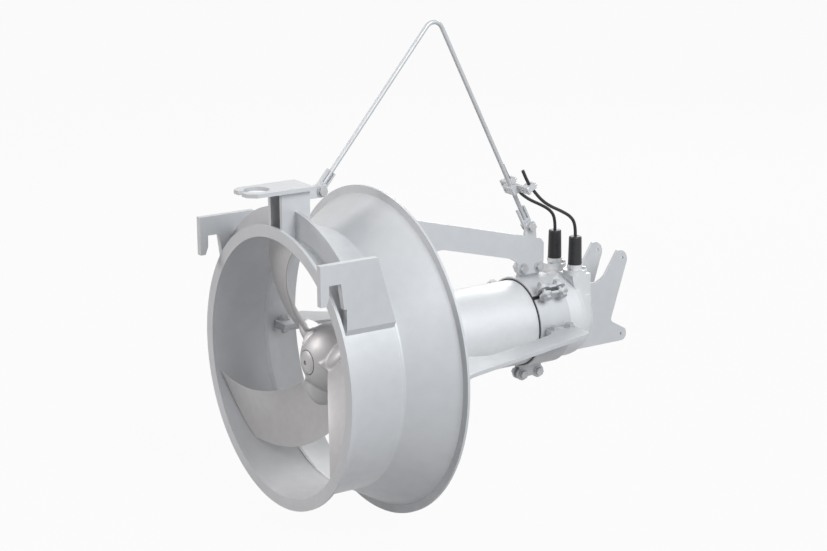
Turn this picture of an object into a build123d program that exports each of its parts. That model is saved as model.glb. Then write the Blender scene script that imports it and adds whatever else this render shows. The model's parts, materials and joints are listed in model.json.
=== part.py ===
"""Submersible recirculation pump: throat and bell, three arms, clamped motor and a three-blade propeller.

X is the pump axis, from the discharge ring's front face (x = 0) towards the motor. Z is up.
"""

import os
from math import cos, degrees, pi, radians, sin, tan

from build123d import *

# Discharge ring and throat shell
BORE_R = 400.0
SHELL_WALL = 5.0
RING_R = 436.0
RING_T = 10.0
THROAT_END_X = 190.0

# Inlet bell
BELL_COLLAR_X = 200.0
BELL_MOUTH_X = 345.5
BELL_MOUTH_R = 488.5
RIM_WIDTH = 24.5
RIM_T = 8.0

# Hook plates
HOOK_INNER_Y = 350.0
HOOK_T = 20.0
HOOK_TOP_Z = 404.0
HOOK_FRONT_X = -58.0
HOOK_REAR_X = 132.0
HOOK_HEEL_X = 192.0
HOOK_TOE_X = 27.0
HOOK_FOOT_Z = 204.0
FINGER_Z = 284.0
FINGER_REAR_X = -31.0
FINGER_CHAMFER = 10.0
NOTCH_TOP_Z = 344.0
NOTCH_REAR_X = 8.5
NOTCH_STEP_X = 18.8
NOTCH_STEP_Z = 267.0
WELD_Z = 185.0

# Crescent stiffeners
STIFFENER_X = 53.5
STIFFENER_T = 12.0
STIFFENER_R = 486.0

# Lifting column and guide plate
COLUMN_X = 10.5
COLUMN_LENGTH = 95.5
COLUMN_HALF_Y = 41.0
COLUMN_WALL = 14.0
GUIDE_Z = 544.0
GUIDE_T = 12.0
GUIDE_HALF_Y = 60.0
GUIDE_FRONT_X = -105.0
GUIDE_REAR_X = 112.0
GUIDE_CHAMFER_X = 25.0
GUIDE_CHAMFER_Y = 22.0
GUIDE_HOLE_R = 38.0
GUIDE_HOLE_X = -50.0
GUIDE_SLOT_W = 20.0

# Bail
BAIL_ROD_D = 14.0
BAIL_BEND_R = 34.0
BAIL_APEX_X = 585.0
BAIL_APEX_Z = 1022.0
FRONT_PIN_X = 165.0
FRONT_PIN_Z = 526.0
REAR_PIN_OFFSET = 55.0
REAR_PIN_RISE = 34.0
PIN_EYE_R = 19.0
LUG_FLARE = 3.0
YOKE_T = 12.0
YOKE_WIDTH = 32.0
YOKE_LENGTH = 68.0
YOKE_SLOT_DEPTH = 42.0
YOKE_SLOT_W = 19.0
YOKE_SEAT_Y = 0.0

# Bolts, M16
BOLT_D = 16.0
BOLT_HOLE_R = 8.8
HEAD_FLATS = 24.0
HEAD_H = 10.0
NUT_H = 13.0
WASHER_R = 18.0
WASHER_T = 3.0
THREAD_END = 5.0

# Motor
MOTOR_R = 138.0
MOTOR_WALL = 8.0
HOUSING_X = 520.0
HOUSING_END_X = 1040.0
FLANGE_R = 160.0
FLANGE_T = 12.0
FLANGE_BOLT_R = 149.0
FLANGE_SCREWS = 8
FLANGE_SCREW_D = 10.0

# Arms
ARM_T = 12.0
ARM_SLOPE = -0.2566
ARM_OUTER_X = 430.0
ARM_OUTER_R = 409.2
ARM_WIDTH = 82.0
ARM_FRONT_X = 236.0
ARM_REACH = 107.0
ARM_PAD_R = 352.0
ARM_PAD_GAP = 4.0
ARM_BOLT_X = 268.0
ARM_BOLT_R = 411.0
ARM_FLARE_X = 362.0
ARM_FLARE_GAP = 25.0
LIMB_FRONT_X = 590.0
LIMB_RUN_OUT = 30.0
ARM_HEEL_X = 527.0
ARM_HEEL_DROP = 40.0
ARM_ANKLE_R = 205.0
ARM_TOE_X = 400.0
ARM_TOE_DROP = 4.0
ARM_INSTEP_R = 240.0
ARM_END_CHAMFER = 12.0
BRACKET_INNER_R = 362.0
BRACKET_LENGTH = 62.0

# Clamp round the motor and its ears
CLAMP_INSET = 154.0
CLAMP_WIDTH = 119.0
CLAMP_T = 5.0
CLAMP_SPLIT = 14.0
LINER_T = 4.0
LINER_EDGE = 2.0
SPLIT_EAR_T = 8.0
EAR_T = 12.0
EAR_R = 21.0
EAR_BOLT_R = 177.0
CLAMP_BOLT_FRONT = 26.0
CLAMP_BOLT_REAR = 88.0
FOOT_BOLT_FRONT_X = 448.0
FOOT_BOLT_REAR_X = 486.0

# Clearances
RUNNING_GAP = 0.3
SEAT_GAP = 0.2
TIP_GAP = 5.0

# Propeller
BLADES = 3
HUB_BALL_R = 110.0
HUB_BALL_X = 213.0
HUB_REAR_R = 72.0
HUB_REAR_X = 300.0
BOSS_R = 72.0
BOSS_X = 190.0
BOSS_TOP_R = 150.0
BOSS_ANGLE = -178.0
BOSS_EDGE_R = 14.0
CAP_R = 37.0
CAP_T = 11.0
CAP_DOME = 7.0
CAP_CROWN_WIDTH = 4.0
CAP_SCREW_HEAD_R = 12.0
CAP_SCREW_HEAD_T = 8.0
CAP_SCREW_SOCKET = 14.0
CAP_SCREW_R = 8.0
BLADE_ROOT_R = 72.0
BLADE_ROOT_T = 17.0
BLADE_TIP_T = 7.0
BLADE_EDGE_T = 2.6
BLADE_CAMBER = 0.03
BLADE_RUN_OUT = 0.12
BLADE_SECTIONS = 7

# Blade edges: angle about the axis and x, as curves of the share of the blade's height
LEADING_ANGLE = (-148.6, 56.1, -20.1, 7.0)
LEADING_X = (142.2, -218.3, 92.5)
TRAILING_ANGLE = (-233.1, 95.2, 3.4, -5.6)
TRAILING_X = (295.3, -279.0, 51.9)

# Shaft, seal and bearings
SHAFT_HUB_R = 28.0
SHAFT_SEAL_R = 32.0
SHAFT_CORE_R = 42.0
SHAFT_REAR_R = 30.0
SHAFT_START_X = 122.0
KEY_WIDTH = 16.0
KEY_HEIGHT = 10.0
KEY_LENGTH = 120.0
COVER_FRONT_X = 304.0
COVER_FRONT_R = 74.0
SEAL_BORE_R = 46.0
SEAL_X = 310.0
SEAL_SEAT_LENGTH = 16.0
SEAL_RING_LENGTH = 20.0
OIL_CHAMBER_X = 350.0
OIL_CHAMBER_END_X = 432.0
OIL_CHAMBER_R = 84.0
LIP_R = 40.0
BEARING_WIDTH = 33.0
FRONT_BEARING_X = 446.0
FRONT_BEARING_R = 70.0
REAR_BEARING_INSET = 106.0
REAR_BEARING_R = 65.0
BALL_R = 10.0
BALLS = 7
SPIGOT = 14.0
O_RING_W = 5.0

# Electrical parts
CORE_X = 545.0
CORE_LENGTH = 300.0
AIR_GAP = 0.6
ROTOR_R = 84.4
WINDING_LENGTH = 34.0
WINDING_INNER_R = 90.0
WINDING_OUTER_R = 122.0

# Connection head, lengths from the housing's rear end
HEAD_RIM = 20.0
HEAD_SHOULDER = 38.0
HEAD_SHOULDER_R = 135.0
HEAD_TAPER = 62.0
HEAD_TAPER_R = 123.0
HEAD_LENGTH = 105.0
HEAD_END_R = 62.0
HEAD_CROWN = 6.0
HEAD_WALL = 10.0
BLOCK_OFFSET = 22.0
BLOCK_LENGTH = 66.0
BLOCK_CORNER_R = 8.0
BLOCK_HALF_Y = 97.0
BLOCK_BOTTOM_Z = 40.0
BLOCK_TOP_Z = 76.0
NECK_TOP_Z = 148.0
NECK_OFFSET = 12.0
NECK_RIM = 12.0
GLAND_OFFSET = 48.0
GLAND_Y = 54.0
GLAND_R = 38.0
GLAND_T = 12.0
GLAND_COLLAR_R = 24.0
GLAND_COLLAR_TOP_Z = 176.0
GLAND_SCREW_PCR = 30.5
GLAND_SCREW_D = 8.0
GLAND_SCREWS = 3
BUSH_R = 14.0
SLEEVE_BOTTOM_R = 22.5
SLEEVE_TOP_R = 20.5
SLEEVE_EDGE_R = 5.0

# Cables, each route in distance forward of its gland and height
CABLE_D = 10.6
CABLE_ROUTE = [
    (0, 269), (0, 307), (20, 337), (61, 361), (103, 381),
    (139, 406), (171, 441), (195, 471), (213.4, 510.2),
]
CABLE_CORNER_SHARE = 0.45

# Cable bar on the bail rod, under the last run but one of the cables
BAR_HALF_Y = 75.0
BAR_WIDTH = 26.0
BAR_T = 8.0
CLIP_LENGTH_Y = 34.0
CLIP_WIDTH = 18.0
CLIP_CROWN = 5.0
CLIP_GAP = 0.4
CLIP_SCREW_D = 6.0
SADDLE_WALL = 7.0

# Rear plates, lengths from the housing's rear end
PLATE_INNER_Y = 60.0
PLATE_T = 10.0
PLATE_TOP_Z = 106.0
PLATE_BOTTOM_Z = -110.0
PLATE_FRONT = 58.0
PLATE_INSET = 40.0
PLATE_LOWER_INSET = 14.0
PLATE_HOLE_R = 5.5
PLATE_THROAT = 148.0
PLATE_WAIST = 188.0
PLATE_WAIST_Z = -35.0
UPPER_LIMB = 211.0
UPPER_LIMB_REAR = 265.0
UPPER_LIMB_TOP_Z = 201.0
UPPER_EYE = 232.0
UPPER_EYE_Z = 173.0
LOWER_LIMB_REAR = 255.0
LOWER_LIMB_TOP_Z = -73.0
LOWER_EYE = 231.0
LOWER_EYE_Z = -87.0

# Angles about the pump axis, from the top, positive towards -Y
ARM_ANGLES = {"top": 0.0, "right": 90.0, "left": -90.0}
ARM_SIDES = {"top": 1, "right": -1, "left": 1}
SPLIT_ANGLES = {"upper_right": 45.0, "upper_left": -66.0, "bottom": 180.0}
SPLIT_SIDES = {"upper_right": 1, "upper_left": 1, "bottom": -1}

shell_r = BORE_R + SHELL_WALL
rim_rear_x = BELL_MOUTH_X + RIM_T
rim_r = BELL_MOUTH_R + RIM_WIDTH
bell_slope = (BELL_MOUTH_R - shell_r) / (BELL_MOUTH_X - BELL_COLLAR_X)
rod_y = YOKE_SEAT_Y + YOKE_T / 2
clamp_r = MOTOR_R + LINER_T + CLAMP_T
housing_bore_r = MOTOR_R - MOTOR_WALL
clamp_x = HOUSING_END_X - CLAMP_INSET
clamp_bolt_front_x = clamp_x + CLAMP_BOLT_FRONT
clamp_bolt_rear_x = clamp_x + CLAMP_BOLT_REAR
rear_pin_x = clamp_x + REAR_PIN_OFFSET
rear_bearing_x = HOUSING_END_X - REAR_BEARING_INSET
head_taper_x = HOUSING_END_X + HEAD_TAPER
head_end_x = HOUSING_END_X + HEAD_LENGTH
block_x = HOUSING_END_X + BLOCK_OFFSET
block_end_x = block_x + BLOCK_LENGTH
neck_front_x = HOUSING_END_X + NECK_OFFSET
gland_x = HOUSING_END_X + GLAND_OFFSET
hub_nose_x = HUB_BALL_X - (HUB_BALL_R**2 - CAP_R**2) ** 0.5
cap_front_x = hub_nose_x - CAP_DOME

os.makedirs("parts", exist_ok=True)


def finish(builder, label):
    """Name a piece and write its STEP file."""
    builder.part.label = label
    export_step(builder.part, f"parts/{label}.step")


def radial_plane(angle, offset=0.0):
    """Plane through the pump axis: local x runs along the axis, local y is the radius."""
    turn = radians(angle)
    return Plane(origin=(0, 0, 0), x_dir=(1, 0, 0), z_dir=(0, -cos(turn), -sin(turn))).offset(offset)


def bell_inner_r(x):
    """Inner radius of the bell's cone at x."""
    return BORE_R + (x - BELL_COLLAR_X) * bell_slope


def arm_outer_r(x):
    """Outer edge of an arm at x."""
    return ARM_OUTER_R + (x - ARM_OUTER_X) * ARM_SLOPE


rear_pin_z = arm_outer_r(rear_pin_x) + REAR_PIN_RISE


def ear_outline(front_x, rear_x, base_r):
    """Two round lobes about a pair of bolts, joined down to the band that carries them."""
    with BuildSketch() as outline:
        with Locations((front_x, EAR_BOLT_R), (rear_x, EAR_BOLT_R)):
            Circle(EAR_R)
        with Locations(((front_x + rear_x) / 2, (EAR_BOLT_R + base_r) / 2 + EAR_R / 4)):
            Rectangle(rear_x - front_x + EAR_R, EAR_BOLT_R - base_r + EAR_R / 2)
        with Locations((front_x, EAR_BOLT_R), (rear_x, EAR_BOLT_R)):
            Circle(BOLT_HOLE_R, mode=Mode.SUBTRACT)
    return outline.sketch


def ear(angle, near, far, front_x, rear_x, base_r):
    """Ear plate between two offsets from the radial plane at the angle."""
    with BuildPart() as plate:
        with BuildSketch(radial_plane(angle, near)):
            add(ear_outline(front_x, rear_x, base_r))
        extrude(amount=far - near)
    return plate.part


def bolt_station(angle, x, r, offset, side):
    """Plane under a washer, its normal pointing to the bolt's head."""
    base = radial_plane(angle, offset)
    return Plane(origin=base.from_local_coords(Vector(x, r, 0)), x_dir=(1, 0, 0), z_dir=base.z_dir * side)


def arm_stations():
    """Stations of the arm bolts: bell bracket, motor foot and clamp ear of each arm."""
    places = [(ARM_BOLT_X, ARM_BOLT_R)]
    places += [(x, EAR_BOLT_R) for x in (FOOT_BOLT_FRONT_X, FOOT_BOLT_REAR_X)]
    places += [(x, EAR_BOLT_R) for x in (clamp_bolt_front_x, clamp_bolt_rear_x)]
    return [
        (bolt_station(ARM_ANGLES[arm], x, r, ARM_SIDES[arm] * ARM_T, ARM_SIDES[arm]), ARM_T + EAR_T)
        for arm in ARM_ANGLES
        for x, r in places
    ]


def clamp_stations():
    """Stations of the bolts that draw the clamp's segments together."""
    half = CLAMP_SPLIT / 2 + SPLIT_EAR_T
    return [
        (
            bolt_station(SPLIT_ANGLES[name], x, EAR_BOLT_R, SPLIT_SIDES[name] * half, SPLIT_SIDES[name]),
            2 * half,
        )
        for name in SPLIT_ANGLES
        for x in (clamp_bolt_front_x, clamp_bolt_rear_x)
    ]


def bail_stations():
    """Stations of the two bail bolts, heads on the lugs."""
    pins = ((FRONT_PIN_X, FRONT_PIN_Z), (rear_pin_x, rear_pin_z))
    return [
        (bolt_station(0, x, z, ARM_T - YOKE_SEAT_Y, 1), ARM_T + YOKE_T + SEAT_GAP)
        for x, z in pins
    ]


stations = arm_stations() + clamp_stations() + bail_stations()


def ring(start_x, end_x, inner_r, outer_r):
    """Plain ring about the pump axis."""
    with BuildPart() as turned:
        with BuildSketch(Plane.XZ):
            with Locations(((start_x + end_x) / 2, (inner_r + outer_r) / 2)):
                Rectangle(end_x - start_x, outer_r - inner_r)
        revolve(axis=Axis.X)
    return turned.part


# Discharge ring
with BuildPart() as discharge_ring:
    with BuildSketch(Plane.XZ):
        with Locations((RING_T / 2, (BORE_R + RING_R) / 2)):
            Rectangle(RING_T, RING_R - BORE_R)
    revolve(axis=Axis.X)
finish(discharge_ring, "discharge_ring")

# Throat shell
with BuildPart() as throat_shell:
    with BuildSketch(Plane.XZ):
        with Locations(((RING_T + THROAT_END_X) / 2, BORE_R + SHELL_WALL / 2)):
            Rectangle(THROAT_END_X - RING_T, SHELL_WALL)
    revolve(axis=Axis.X)
finish(throat_shell, "throat_shell")

# Inlet bell: collar, cone and flat rim
with BuildPart() as inlet_bell:
    with BuildSketch(Plane.XZ):
        with BuildLine():
            FilletPolyline(
                (THROAT_END_X, shell_r),
                (BELL_COLLAR_X, shell_r),
                (BELL_MOUTH_X, BELL_MOUTH_R),
                radius=BELL_COLLAR_X - THROAT_END_X,
            )
            Polyline(
                (BELL_MOUTH_X, BELL_MOUTH_R),
                (BELL_MOUTH_X, rim_r),
                (rim_rear_x, rim_r),
                (rim_rear_x, bell_inner_r(rim_rear_x)),
            )
            FilletPolyline(
                (rim_rear_x, bell_inner_r(rim_rear_x)),
                (BELL_COLLAR_X, BORE_R),
                (THROAT_END_X, BORE_R),
                radius=BELL_COLLAR_X - THROAT_END_X + SHELL_WALL,
            )
            Line((THROAT_END_X, BORE_R), (THROAT_END_X, shell_r))
        make_face()
    revolve(axis=Axis.X)
finish(inlet_bell, "inlet_bell")

# Hook plates, one each side, with the weld seam that fills the wedge over the shell
for label, side in (("hook_right", -1), ("hook_left", 1)):
    with BuildPart() as hook:
        with BuildSketch(Plane.XZ.offset(-side * HOOK_INNER_Y)):
            with BuildLine():
                Polyline(
                    (HOOK_FRONT_X, FINGER_Z),
                    (HOOK_FRONT_X, HOOK_TOP_Z),
                    (HOOK_REAR_X, HOOK_TOP_Z),
                    (HOOK_HEEL_X, HOOK_FOOT_Z),
                    (HOOK_TOE_X, HOOK_FOOT_Z),
                    (HOOK_TOE_X, NOTCH_STEP_Z),
                    (NOTCH_STEP_X, NOTCH_STEP_Z),
                    (NOTCH_REAR_X, NOTCH_TOP_Z),
                    (FINGER_REAR_X, NOTCH_TOP_Z),
                    (FINGER_REAR_X, FINGER_Z + 2.5 * FINGER_CHAMFER),
                    (FINGER_REAR_X - FINGER_CHAMFER, FINGER_Z),
                    close=True,
                )
            make_face()
        extrude(amount=-side * HOOK_T)
        with BuildSketch(Plane.YZ.offset(HOOK_TOE_X)):
            with BuildLine():
                Polyline(
                    (side * HOOK_INNER_Y, HOOK_FOOT_Z),
                    (side * (HOOK_INNER_Y + HOOK_T), HOOK_FOOT_Z),
                    (side * (HOOK_INNER_Y + HOOK_T / 2), WELD_Z),
                    close=True,
                )
            make_face()
        extrude(amount=HOOK_HEEL_X - HOOK_TOE_X)
        with Locations(Plane.YZ):
            Cylinder(
                shell_r, HOOK_HEEL_X, align=(Align.CENTER, Align.CENTER, Align.MIN), mode=Mode.SUBTRACT
            )
    finish(hook, label)

# Crescent stiffeners between the column and the hooks
for label, side in (("stiffener_right", -1), ("stiffener_left", 1)):
    with BuildPart() as stiffener:
        with BuildSketch(Plane.YZ.offset(STIFFENER_X)):
            Circle(STIFFENER_R)
            Circle(shell_r, mode=Mode.SUBTRACT)
            with Locations((side * (COLUMN_HALF_Y + HOOK_INNER_Y) / 2, STIFFENER_R / 2)):
                Rectangle(HOOK_INNER_Y - COLUMN_HALF_Y, STIFFENER_R, mode=Mode.INTERSECT)
        extrude(amount=STIFFENER_T)
    finish(stiffener, label)

# Lifting column: a channel open to the front
with BuildPart() as lift_column:
    with BuildSketch(Plane.XY.offset(BORE_R - HOOK_T)):
        with Locations((COLUMN_X + COLUMN_LENGTH / 2, 0)):
            Rectangle(COLUMN_LENGTH, 2 * COLUMN_HALF_Y)
        with Locations((COLUMN_X + (COLUMN_LENGTH - COLUMN_WALL) / 2, 0)):
            Rectangle(COLUMN_LENGTH - COLUMN_WALL, 2 * (COLUMN_HALF_Y - COLUMN_WALL), mode=Mode.SUBTRACT)
    extrude(amount=GUIDE_Z - BORE_R + HOOK_T)
    with Locations(Plane.YZ):
        Cylinder(
            shell_r, THROAT_END_X, align=(Align.CENTER, Align.CENTER, Align.MIN), mode=Mode.SUBTRACT
        )
finish(lift_column, "lift_column")

# Horseshoe guide plate for the mast
with BuildPart() as guide_plate:
    with BuildSketch(Plane.XY.offset(GUIDE_Z)):
        with BuildLine():
            Polyline(
                (GUIDE_REAR_X, GUIDE_HALF_Y),
                (GUIDE_FRONT_X + GUIDE_CHAMFER_X, GUIDE_HALF_Y),
                (GUIDE_FRONT_X, GUIDE_HALF_Y - GUIDE_CHAMFER_Y),
                (GUIDE_FRONT_X, GUIDE_CHAMFER_Y - GUIDE_HALF_Y),
                (GUIDE_FRONT_X + GUIDE_CHAMFER_X, -GUIDE_HALF_Y),
                (GUIDE_REAR_X, -GUIDE_HALF_Y),
                close=True,
            )
        make_face()
        with Locations((GUIDE_HOLE_X, 0)):
            Circle(GUIDE_HOLE_R, mode=Mode.SUBTRACT)
        with Locations(((GUIDE_FRONT_X + GUIDE_HOLE_X) / 2, 0)):
            Rectangle(GUIDE_HOLE_X - GUIDE_FRONT_X, GUIDE_SLOT_W, mode=Mode.SUBTRACT)
    extrude(amount=GUIDE_T)
finish(guide_plate, "guide_plate")

# Lug of the front bail bolt, welded to the column's web
with BuildPart() as front_bail_lug:
    with BuildSketch(Plane.XZ.offset(YOKE_SEAT_Y)):
        with Locations((FRONT_PIN_X, FRONT_PIN_Z)):
            Circle(PIN_EYE_R)
        with BuildLine():
            Polyline(
                (COLUMN_X + COLUMN_LENGTH, FRONT_PIN_Z - PIN_EYE_R),
                (FRONT_PIN_X, FRONT_PIN_Z - PIN_EYE_R),
                (FRONT_PIN_X, FRONT_PIN_Z + PIN_EYE_R),
                (COLUMN_X + COLUMN_LENGTH, GUIDE_Z - 2),
                close=True,
            )
        make_face()
        with Locations((FRONT_PIN_X, FRONT_PIN_Z)):
            Circle(BOLT_HOLE_R, mode=Mode.SUBTRACT)
    extrude(amount=ARM_T)
finish(front_bail_lug, "front_bail_lug")

# Bail: one bent rod whose ends are welded into the slots of the two yokes
front_leg = Vector(BAIL_APEX_X - FRONT_PIN_X, 0, BAIL_APEX_Z - FRONT_PIN_Z).normalized()
rear_leg = Vector(BAIL_APEX_X - rear_pin_x, 0, BAIL_APEX_Z - rear_pin_z).normalized()
rod_start = YOKE_LENGTH - YOKE_SLOT_DEPTH
front_pin = Vector(FRONT_PIN_X, rod_y, FRONT_PIN_Z)
rear_pin = Vector(rear_pin_x, rod_y, rear_pin_z)

with BuildPart() as bail_rod:
    with BuildLine():
        FilletPolyline(
            front_pin + front_leg * rod_start,
            (BAIL_APEX_X, rod_y, BAIL_APEX_Z),
            rear_pin + rear_leg * rod_start,
            radius=BAIL_BEND_R,
        )
    with BuildSketch(Plane(origin=front_pin + front_leg * rod_start, z_dir=front_leg)):
        Circle(BAIL_ROD_D / 2)
    sweep()
finish(bail_rod, "bail_rod")

for label, pin, leg in (("front_yoke", front_pin, front_leg), ("rear_yoke", rear_pin, rear_leg)):
    with BuildPart() as yoke:
        yoke_side = pin - Vector(0, YOKE_T / 2 - SEAT_GAP, 0)
        with BuildSketch(Plane(origin=yoke_side, x_dir=leg, z_dir=(0, 1, 0))):
            Circle(YOKE_WIDTH / 2)
            with Locations((YOKE_LENGTH / 2, 0)):
                Rectangle(YOKE_LENGTH, YOKE_WIDTH)
            with Locations((YOKE_LENGTH - YOKE_SLOT_DEPTH / 2, 0)):
                Rectangle(YOKE_SLOT_DEPTH, YOKE_SLOT_W, mode=Mode.SUBTRACT)
            Circle(BOLT_HOLE_R, mode=Mode.SUBTRACT)
        extrude(amount=YOKE_T)
    finish(yoke, label)


def arm_blank():
    """Outline of an arm in (x, radius): bell pad, motor foot, long limb and clamp end."""
    pad_outer_r = bell_inner_r(ARM_FRONT_X) - ARM_PAD_GAP
    flare_r = bell_inner_r(ARM_FLARE_X) - ARM_FLARE_GAP
    foot_front_x = FOOT_BOLT_FRONT_X - EAR_R
    foot_rear_x = FOOT_BOLT_REAR_X + EAR_R
    lobe_r = EAR_BOLT_R - EAR_R
    clamp_front_x = clamp_bolt_front_x - EAR_R
    limb_rear_x = clamp_front_x - LIMB_RUN_OUT
    arm_rear_x = clamp_x + ARM_REACH
    chamfer_x = arm_rear_x - ARM_END_CHAMFER
    with BuildSketch() as blank:
        with BuildLine():
            FilletPolyline(
                (ARM_FRONT_X, ARM_PAD_R),
                (ARM_FRONT_X, pad_outer_r),
                (ARM_FLARE_X, flare_r),
                (ARM_OUTER_X, ARM_OUTER_R),
                (chamfer_x, arm_outer_r(chamfer_x)),
                (arm_rear_x, arm_outer_r(arm_rear_x) - ARM_END_CHAMFER),
                (arm_rear_x, lobe_r),
                (clamp_front_x, lobe_r),
                (clamp_front_x, EAR_BOLT_R + EAR_R),
                (limb_rear_x, arm_outer_r(limb_rear_x) - ARM_WIDTH),
                (LIMB_FRONT_X, arm_outer_r(LIMB_FRONT_X) - ARM_WIDTH),
                (ARM_HEEL_X, arm_outer_r(ARM_HEEL_X) - ARM_WIDTH - ARM_HEEL_DROP),
                (foot_rear_x, ARM_ANKLE_R),
                (foot_rear_x, lobe_r),
                (foot_front_x, lobe_r),
                (foot_front_x, ARM_INSTEP_R),
                (ARM_TOE_X, arm_outer_r(ARM_TOE_X) - ARM_WIDTH - ARM_TOE_DROP),
                radius=[6, 6, 18, 60, 8, 8, 18, 18, 14, 26, 60, 30, 24, 18, 18, 60, 60],
                close=True,
            )
        make_face()
        for x in (clamp_bolt_front_x, clamp_bolt_rear_x, FOOT_BOLT_FRONT_X, FOOT_BOLT_REAR_X):
            with Locations((x, EAR_BOLT_R)):
                Circle(BOLT_HOLE_R, mode=Mode.SUBTRACT)
        with Locations((ARM_BOLT_X, ARM_BOLT_R)):
            Circle(BOLT_HOLE_R, mode=Mode.SUBTRACT)
    return blank.sketch


# Arms; the top one also carries the rear bail lug
for name in ARM_ANGLES:
    with BuildPart() as arm:
        with BuildSketch(radial_plane(ARM_ANGLES[name])):
            add(arm_blank())
            if name == "top":
                with Locations((rear_pin_x, rear_pin_z)):
                    Circle(PIN_EYE_R)
                lug_front_x, lug_rear_x = rear_pin_x - PIN_EYE_R, rear_pin_x + PIN_EYE_R
                with BuildLine():
                    Polyline(
                        (lug_front_x, rear_pin_z),
                        (lug_front_x - LUG_FLARE, arm_outer_r(lug_front_x)),
                        (rear_pin_x, arm_outer_r(rear_pin_x) - PIN_EYE_R),
                        (lug_rear_x + LUG_FLARE, arm_outer_r(lug_rear_x)),
                        (lug_rear_x, rear_pin_z),
                        close=True,
                    )
                make_face()
                with Locations((rear_pin_x, rear_pin_z)):
                    Circle(BOLT_HOLE_R, mode=Mode.SUBTRACT)
        extrude(amount=ARM_SIDES[name] * ARM_T)
    finish(arm, f"{name}_arm")

# Brackets on the inner wall of the bell, one under each arm's front end
with BuildPart() as bell_brackets:
    for name in ARM_ANGLES:
        with BuildSketch(radial_plane(ARM_ANGLES[name])):
            bracket_rear_x = ARM_FRONT_X + BRACKET_LENGTH
            with BuildLine():
                Polyline(
                    (ARM_FRONT_X, BRACKET_INNER_R),
                    (ARM_FRONT_X, bell_inner_r(ARM_FRONT_X)),
                    (bracket_rear_x, bell_inner_r(bracket_rear_x)),
                    (bracket_rear_x, BRACKET_INNER_R),
                    close=True,
                )
            make_face()
            with Locations((ARM_BOLT_X, ARM_BOLT_R)):
                Circle(BOLT_HOLE_R, mode=Mode.SUBTRACT)
        extrude(amount=-ARM_SIDES[name] * EAR_T)
    with BuildSketch(Plane.XZ):
        with BuildLine():
            Polyline(
                (BELL_COLLAR_X, 0),
                (BELL_COLLAR_X, BORE_R),
                (BELL_MOUTH_X, bell_inner_r(BELL_MOUTH_X)),
                (BELL_MOUTH_X, 0),
                close=True,
            )
        make_face()
    revolve(axis=Axis.X, mode=Mode.INTERSECT)
finish(bell_brackets, "bell_brackets")

# Clamp segments: a third of a band each, with ears at the splits and under the arm
segments = {
    "clamp_top": ("upper_left", "upper_right", "top"),
    "clamp_right": ("upper_right", "bottom", "right"),
    "clamp_left": ("bottom", "upper_left", "left"),
}
for label, (start, end, arm_name) in segments.items():
    start_angle = SPLIT_ANGLES[start]
    sweep_angle = (SPLIT_ANGLES[end] - start_angle) % 360
    cut_angle = degrees(CLAMP_SPLIT / 2 / clamp_r)
    near = CLAMP_SPLIT / 2
    ear_span = (clamp_bolt_front_x, clamp_bolt_rear_x, clamp_r - CLAMP_T / 2)
    with BuildPart() as segment:
        with BuildSketch(radial_plane(start_angle + cut_angle)):
            with Locations((clamp_x + CLAMP_WIDTH / 2, clamp_r - (CLAMP_T - SEAT_GAP) / 2)):
                Rectangle(CLAMP_WIDTH, CLAMP_T - SEAT_GAP)
        revolve(axis=Axis.X, revolution_arc=sweep_angle - 2 * cut_angle)
        add(ear(start_angle, near, near + SPLIT_EAR_T, *ear_span))
        add(ear(SPLIT_ANGLES[end], -near - SPLIT_EAR_T, -near, *ear_span))
        seat = -ARM_SIDES[arm_name] * EAR_T
        add(ear(ARM_ANGLES[arm_name], min(0, seat), max(0, seat), *ear_span))
    finish(segment, label)

# Rubber strip between the clamp and the motor
with BuildPart() as clamp_liner:
    liner_end_x = clamp_x + CLAMP_WIDTH + LINER_EDGE
    add(ring(clamp_x - LINER_EDGE, liner_end_x, MOTOR_R + SEAT_GAP, MOTOR_R + LINER_T))
finish(clamp_liner, "clamp_liner")

# Motor housing: a stainless tube with a flange at its front end
with BuildPart() as motor_housing:
    with BuildSketch(Plane.XZ):
        with BuildLine():
            Polyline(
                (HOUSING_X, housing_bore_r),
                (HOUSING_X, FLANGE_R),
                (HOUSING_X + FLANGE_T, FLANGE_R),
                (HOUSING_X + FLANGE_T, MOTOR_R),
                (HOUSING_END_X, MOTOR_R),
                (HOUSING_END_X, housing_bore_r),
                close=True,
            )
        make_face()
    revolve(axis=Axis.X)
    with Locations(Plane.YZ.offset(HOUSING_X)):
        with PolarLocations(FLANGE_BOLT_R, FLANGE_SCREWS, start_angle=180 / FLANGE_SCREWS):
            Cylinder(
                FLANGE_SCREW_D / 2,
                FLANGE_T,
                align=(Align.CENTER, Align.CENTER, Align.MIN),
                mode=Mode.SUBTRACT,
            )
finish(motor_housing, "motor_housing")

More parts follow.
